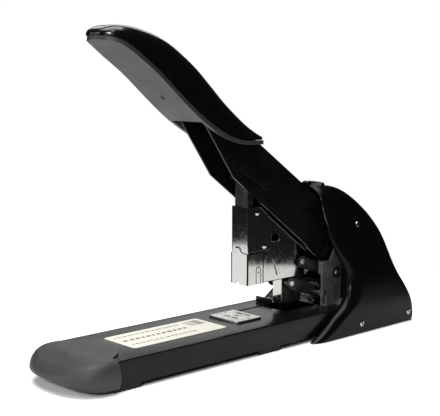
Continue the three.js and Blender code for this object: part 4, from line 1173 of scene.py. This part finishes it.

# %% [markdown]
# ## Small prints
# The label is bare paper with a few rows of meaningless strokes, and the clinch plate carries
# a small triangle and two dots, with painted shade in the foot of its two grooves. They are thin
# solids, so they need no picture.

# %% Label and clinch-plate marks
eased_copy("label", PAPER, "label_paper", 0.08)
LABEL_TOP, ANVIL_TOP, MARKS_X = 24.0, 25.2, 4.6
INK_SPAN = (LABEL_TOP - 0.05, LABEL_TOP + 0.02)
strokes = bmesh.new()
for y, deep in ((11, 1.3), (-0.5, 3.2), (-12.5, 1.3)):
    x = -116.0
    while x < -50:
        length = random.uniform(0.8, 1.4) * deep
        block(strokes, (x, x + length), (y, y + 3.4), INK_SPAN)
        x += length + random.uniform(1.6, 2.6)
bar_x = -45.0
while bar_x < -29:
    width = random.choice((0.35, 0.6, 0.9))
    block(strokes, (bar_x, bar_x + width), (2, 16), INK_SPAN)
    bar_x += width + random.choice((0.5, 0.8, 1.1))
add_piece("label_strokes", strokes, "base", "label_paper", INK)

plate_marks = bmesh.new()
bmesh.ops.create_circle(plate_marks, cap_ends=True, segments=3, radius=2.2 * MM)
bmesh.ops.translate(plate_marks, verts=plate_marks.verts, vec=point(MARKS_X, 0, ANVIL_TOP + 0.03))
for y in (-14.4, 14.4):
    made = bmesh.ops.create_circle(plate_marks, cap_ends=True, segments=16, radius=0.9 * MM)
    place = point(MARKS_X, y, ANVIL_TOP + 0.03)
    bmesh.ops.translate(plate_marks, verts=made["verts"], vec=place)
# Dark bars in the foot of the clinch grooves are painted shade.
for groove in ((10.6, 12.8), (-3.6, -1.4)):
    for side in SIDES.values():
        across = sorted((side * 1, side * 8))
        block(plate_marks, groove, across, (ANVIL_TOP - 0.69, ANVIL_TOP - 0.4))
add_piece("clinch_plate_marks_and_groove_shade", plate_marks, "base", "brushed_steel", GAP_AND_SHADE_BLACK)

# %% [markdown]
# ## What is left
# The depth stop is held by one low screw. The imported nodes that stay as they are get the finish
# of their own slot, so that nothing keeps a plain grey.

# %% Depth-stop screw and the remaining nodes
stop_seat = point(65.8, 26, 25.4)
add_piece(
    "depth_stop_screw_turned",
    turned([(-1.5, 0), (-1.5, 1.5), (0, 1.5), (0, 2.9), (0.3, 3), (0.9, 2.8), (1.4, 2), (1.6, 0)],
           stop_seat, (0, 0, 1)),
    "depth_stop", "chrome", CHROME, replaces=["depth_stop_screw"],
)
SLOT_FINISH = {
    "black_steel": PAINT, "grey_plastic": GREY, "label_paper": PAPER, "brushed_steel": STEEL,
    "chrome": CHROME, "dark_steel": OILED, "housing_plastic": HOUSING, "handle_gloss": GLOSS,
    "rubber": RUBBER,
}
node_slot = {row["node"]: row["material_slot"] for row in frame["record"]["subparts"]}
for name, node in frame["nodes"].items():
    node.data.materials.clear()
    node.data.materials.append(SLOT_FINISH[node_slot[name]])
print("nodes with a finish:", len(node_slot))
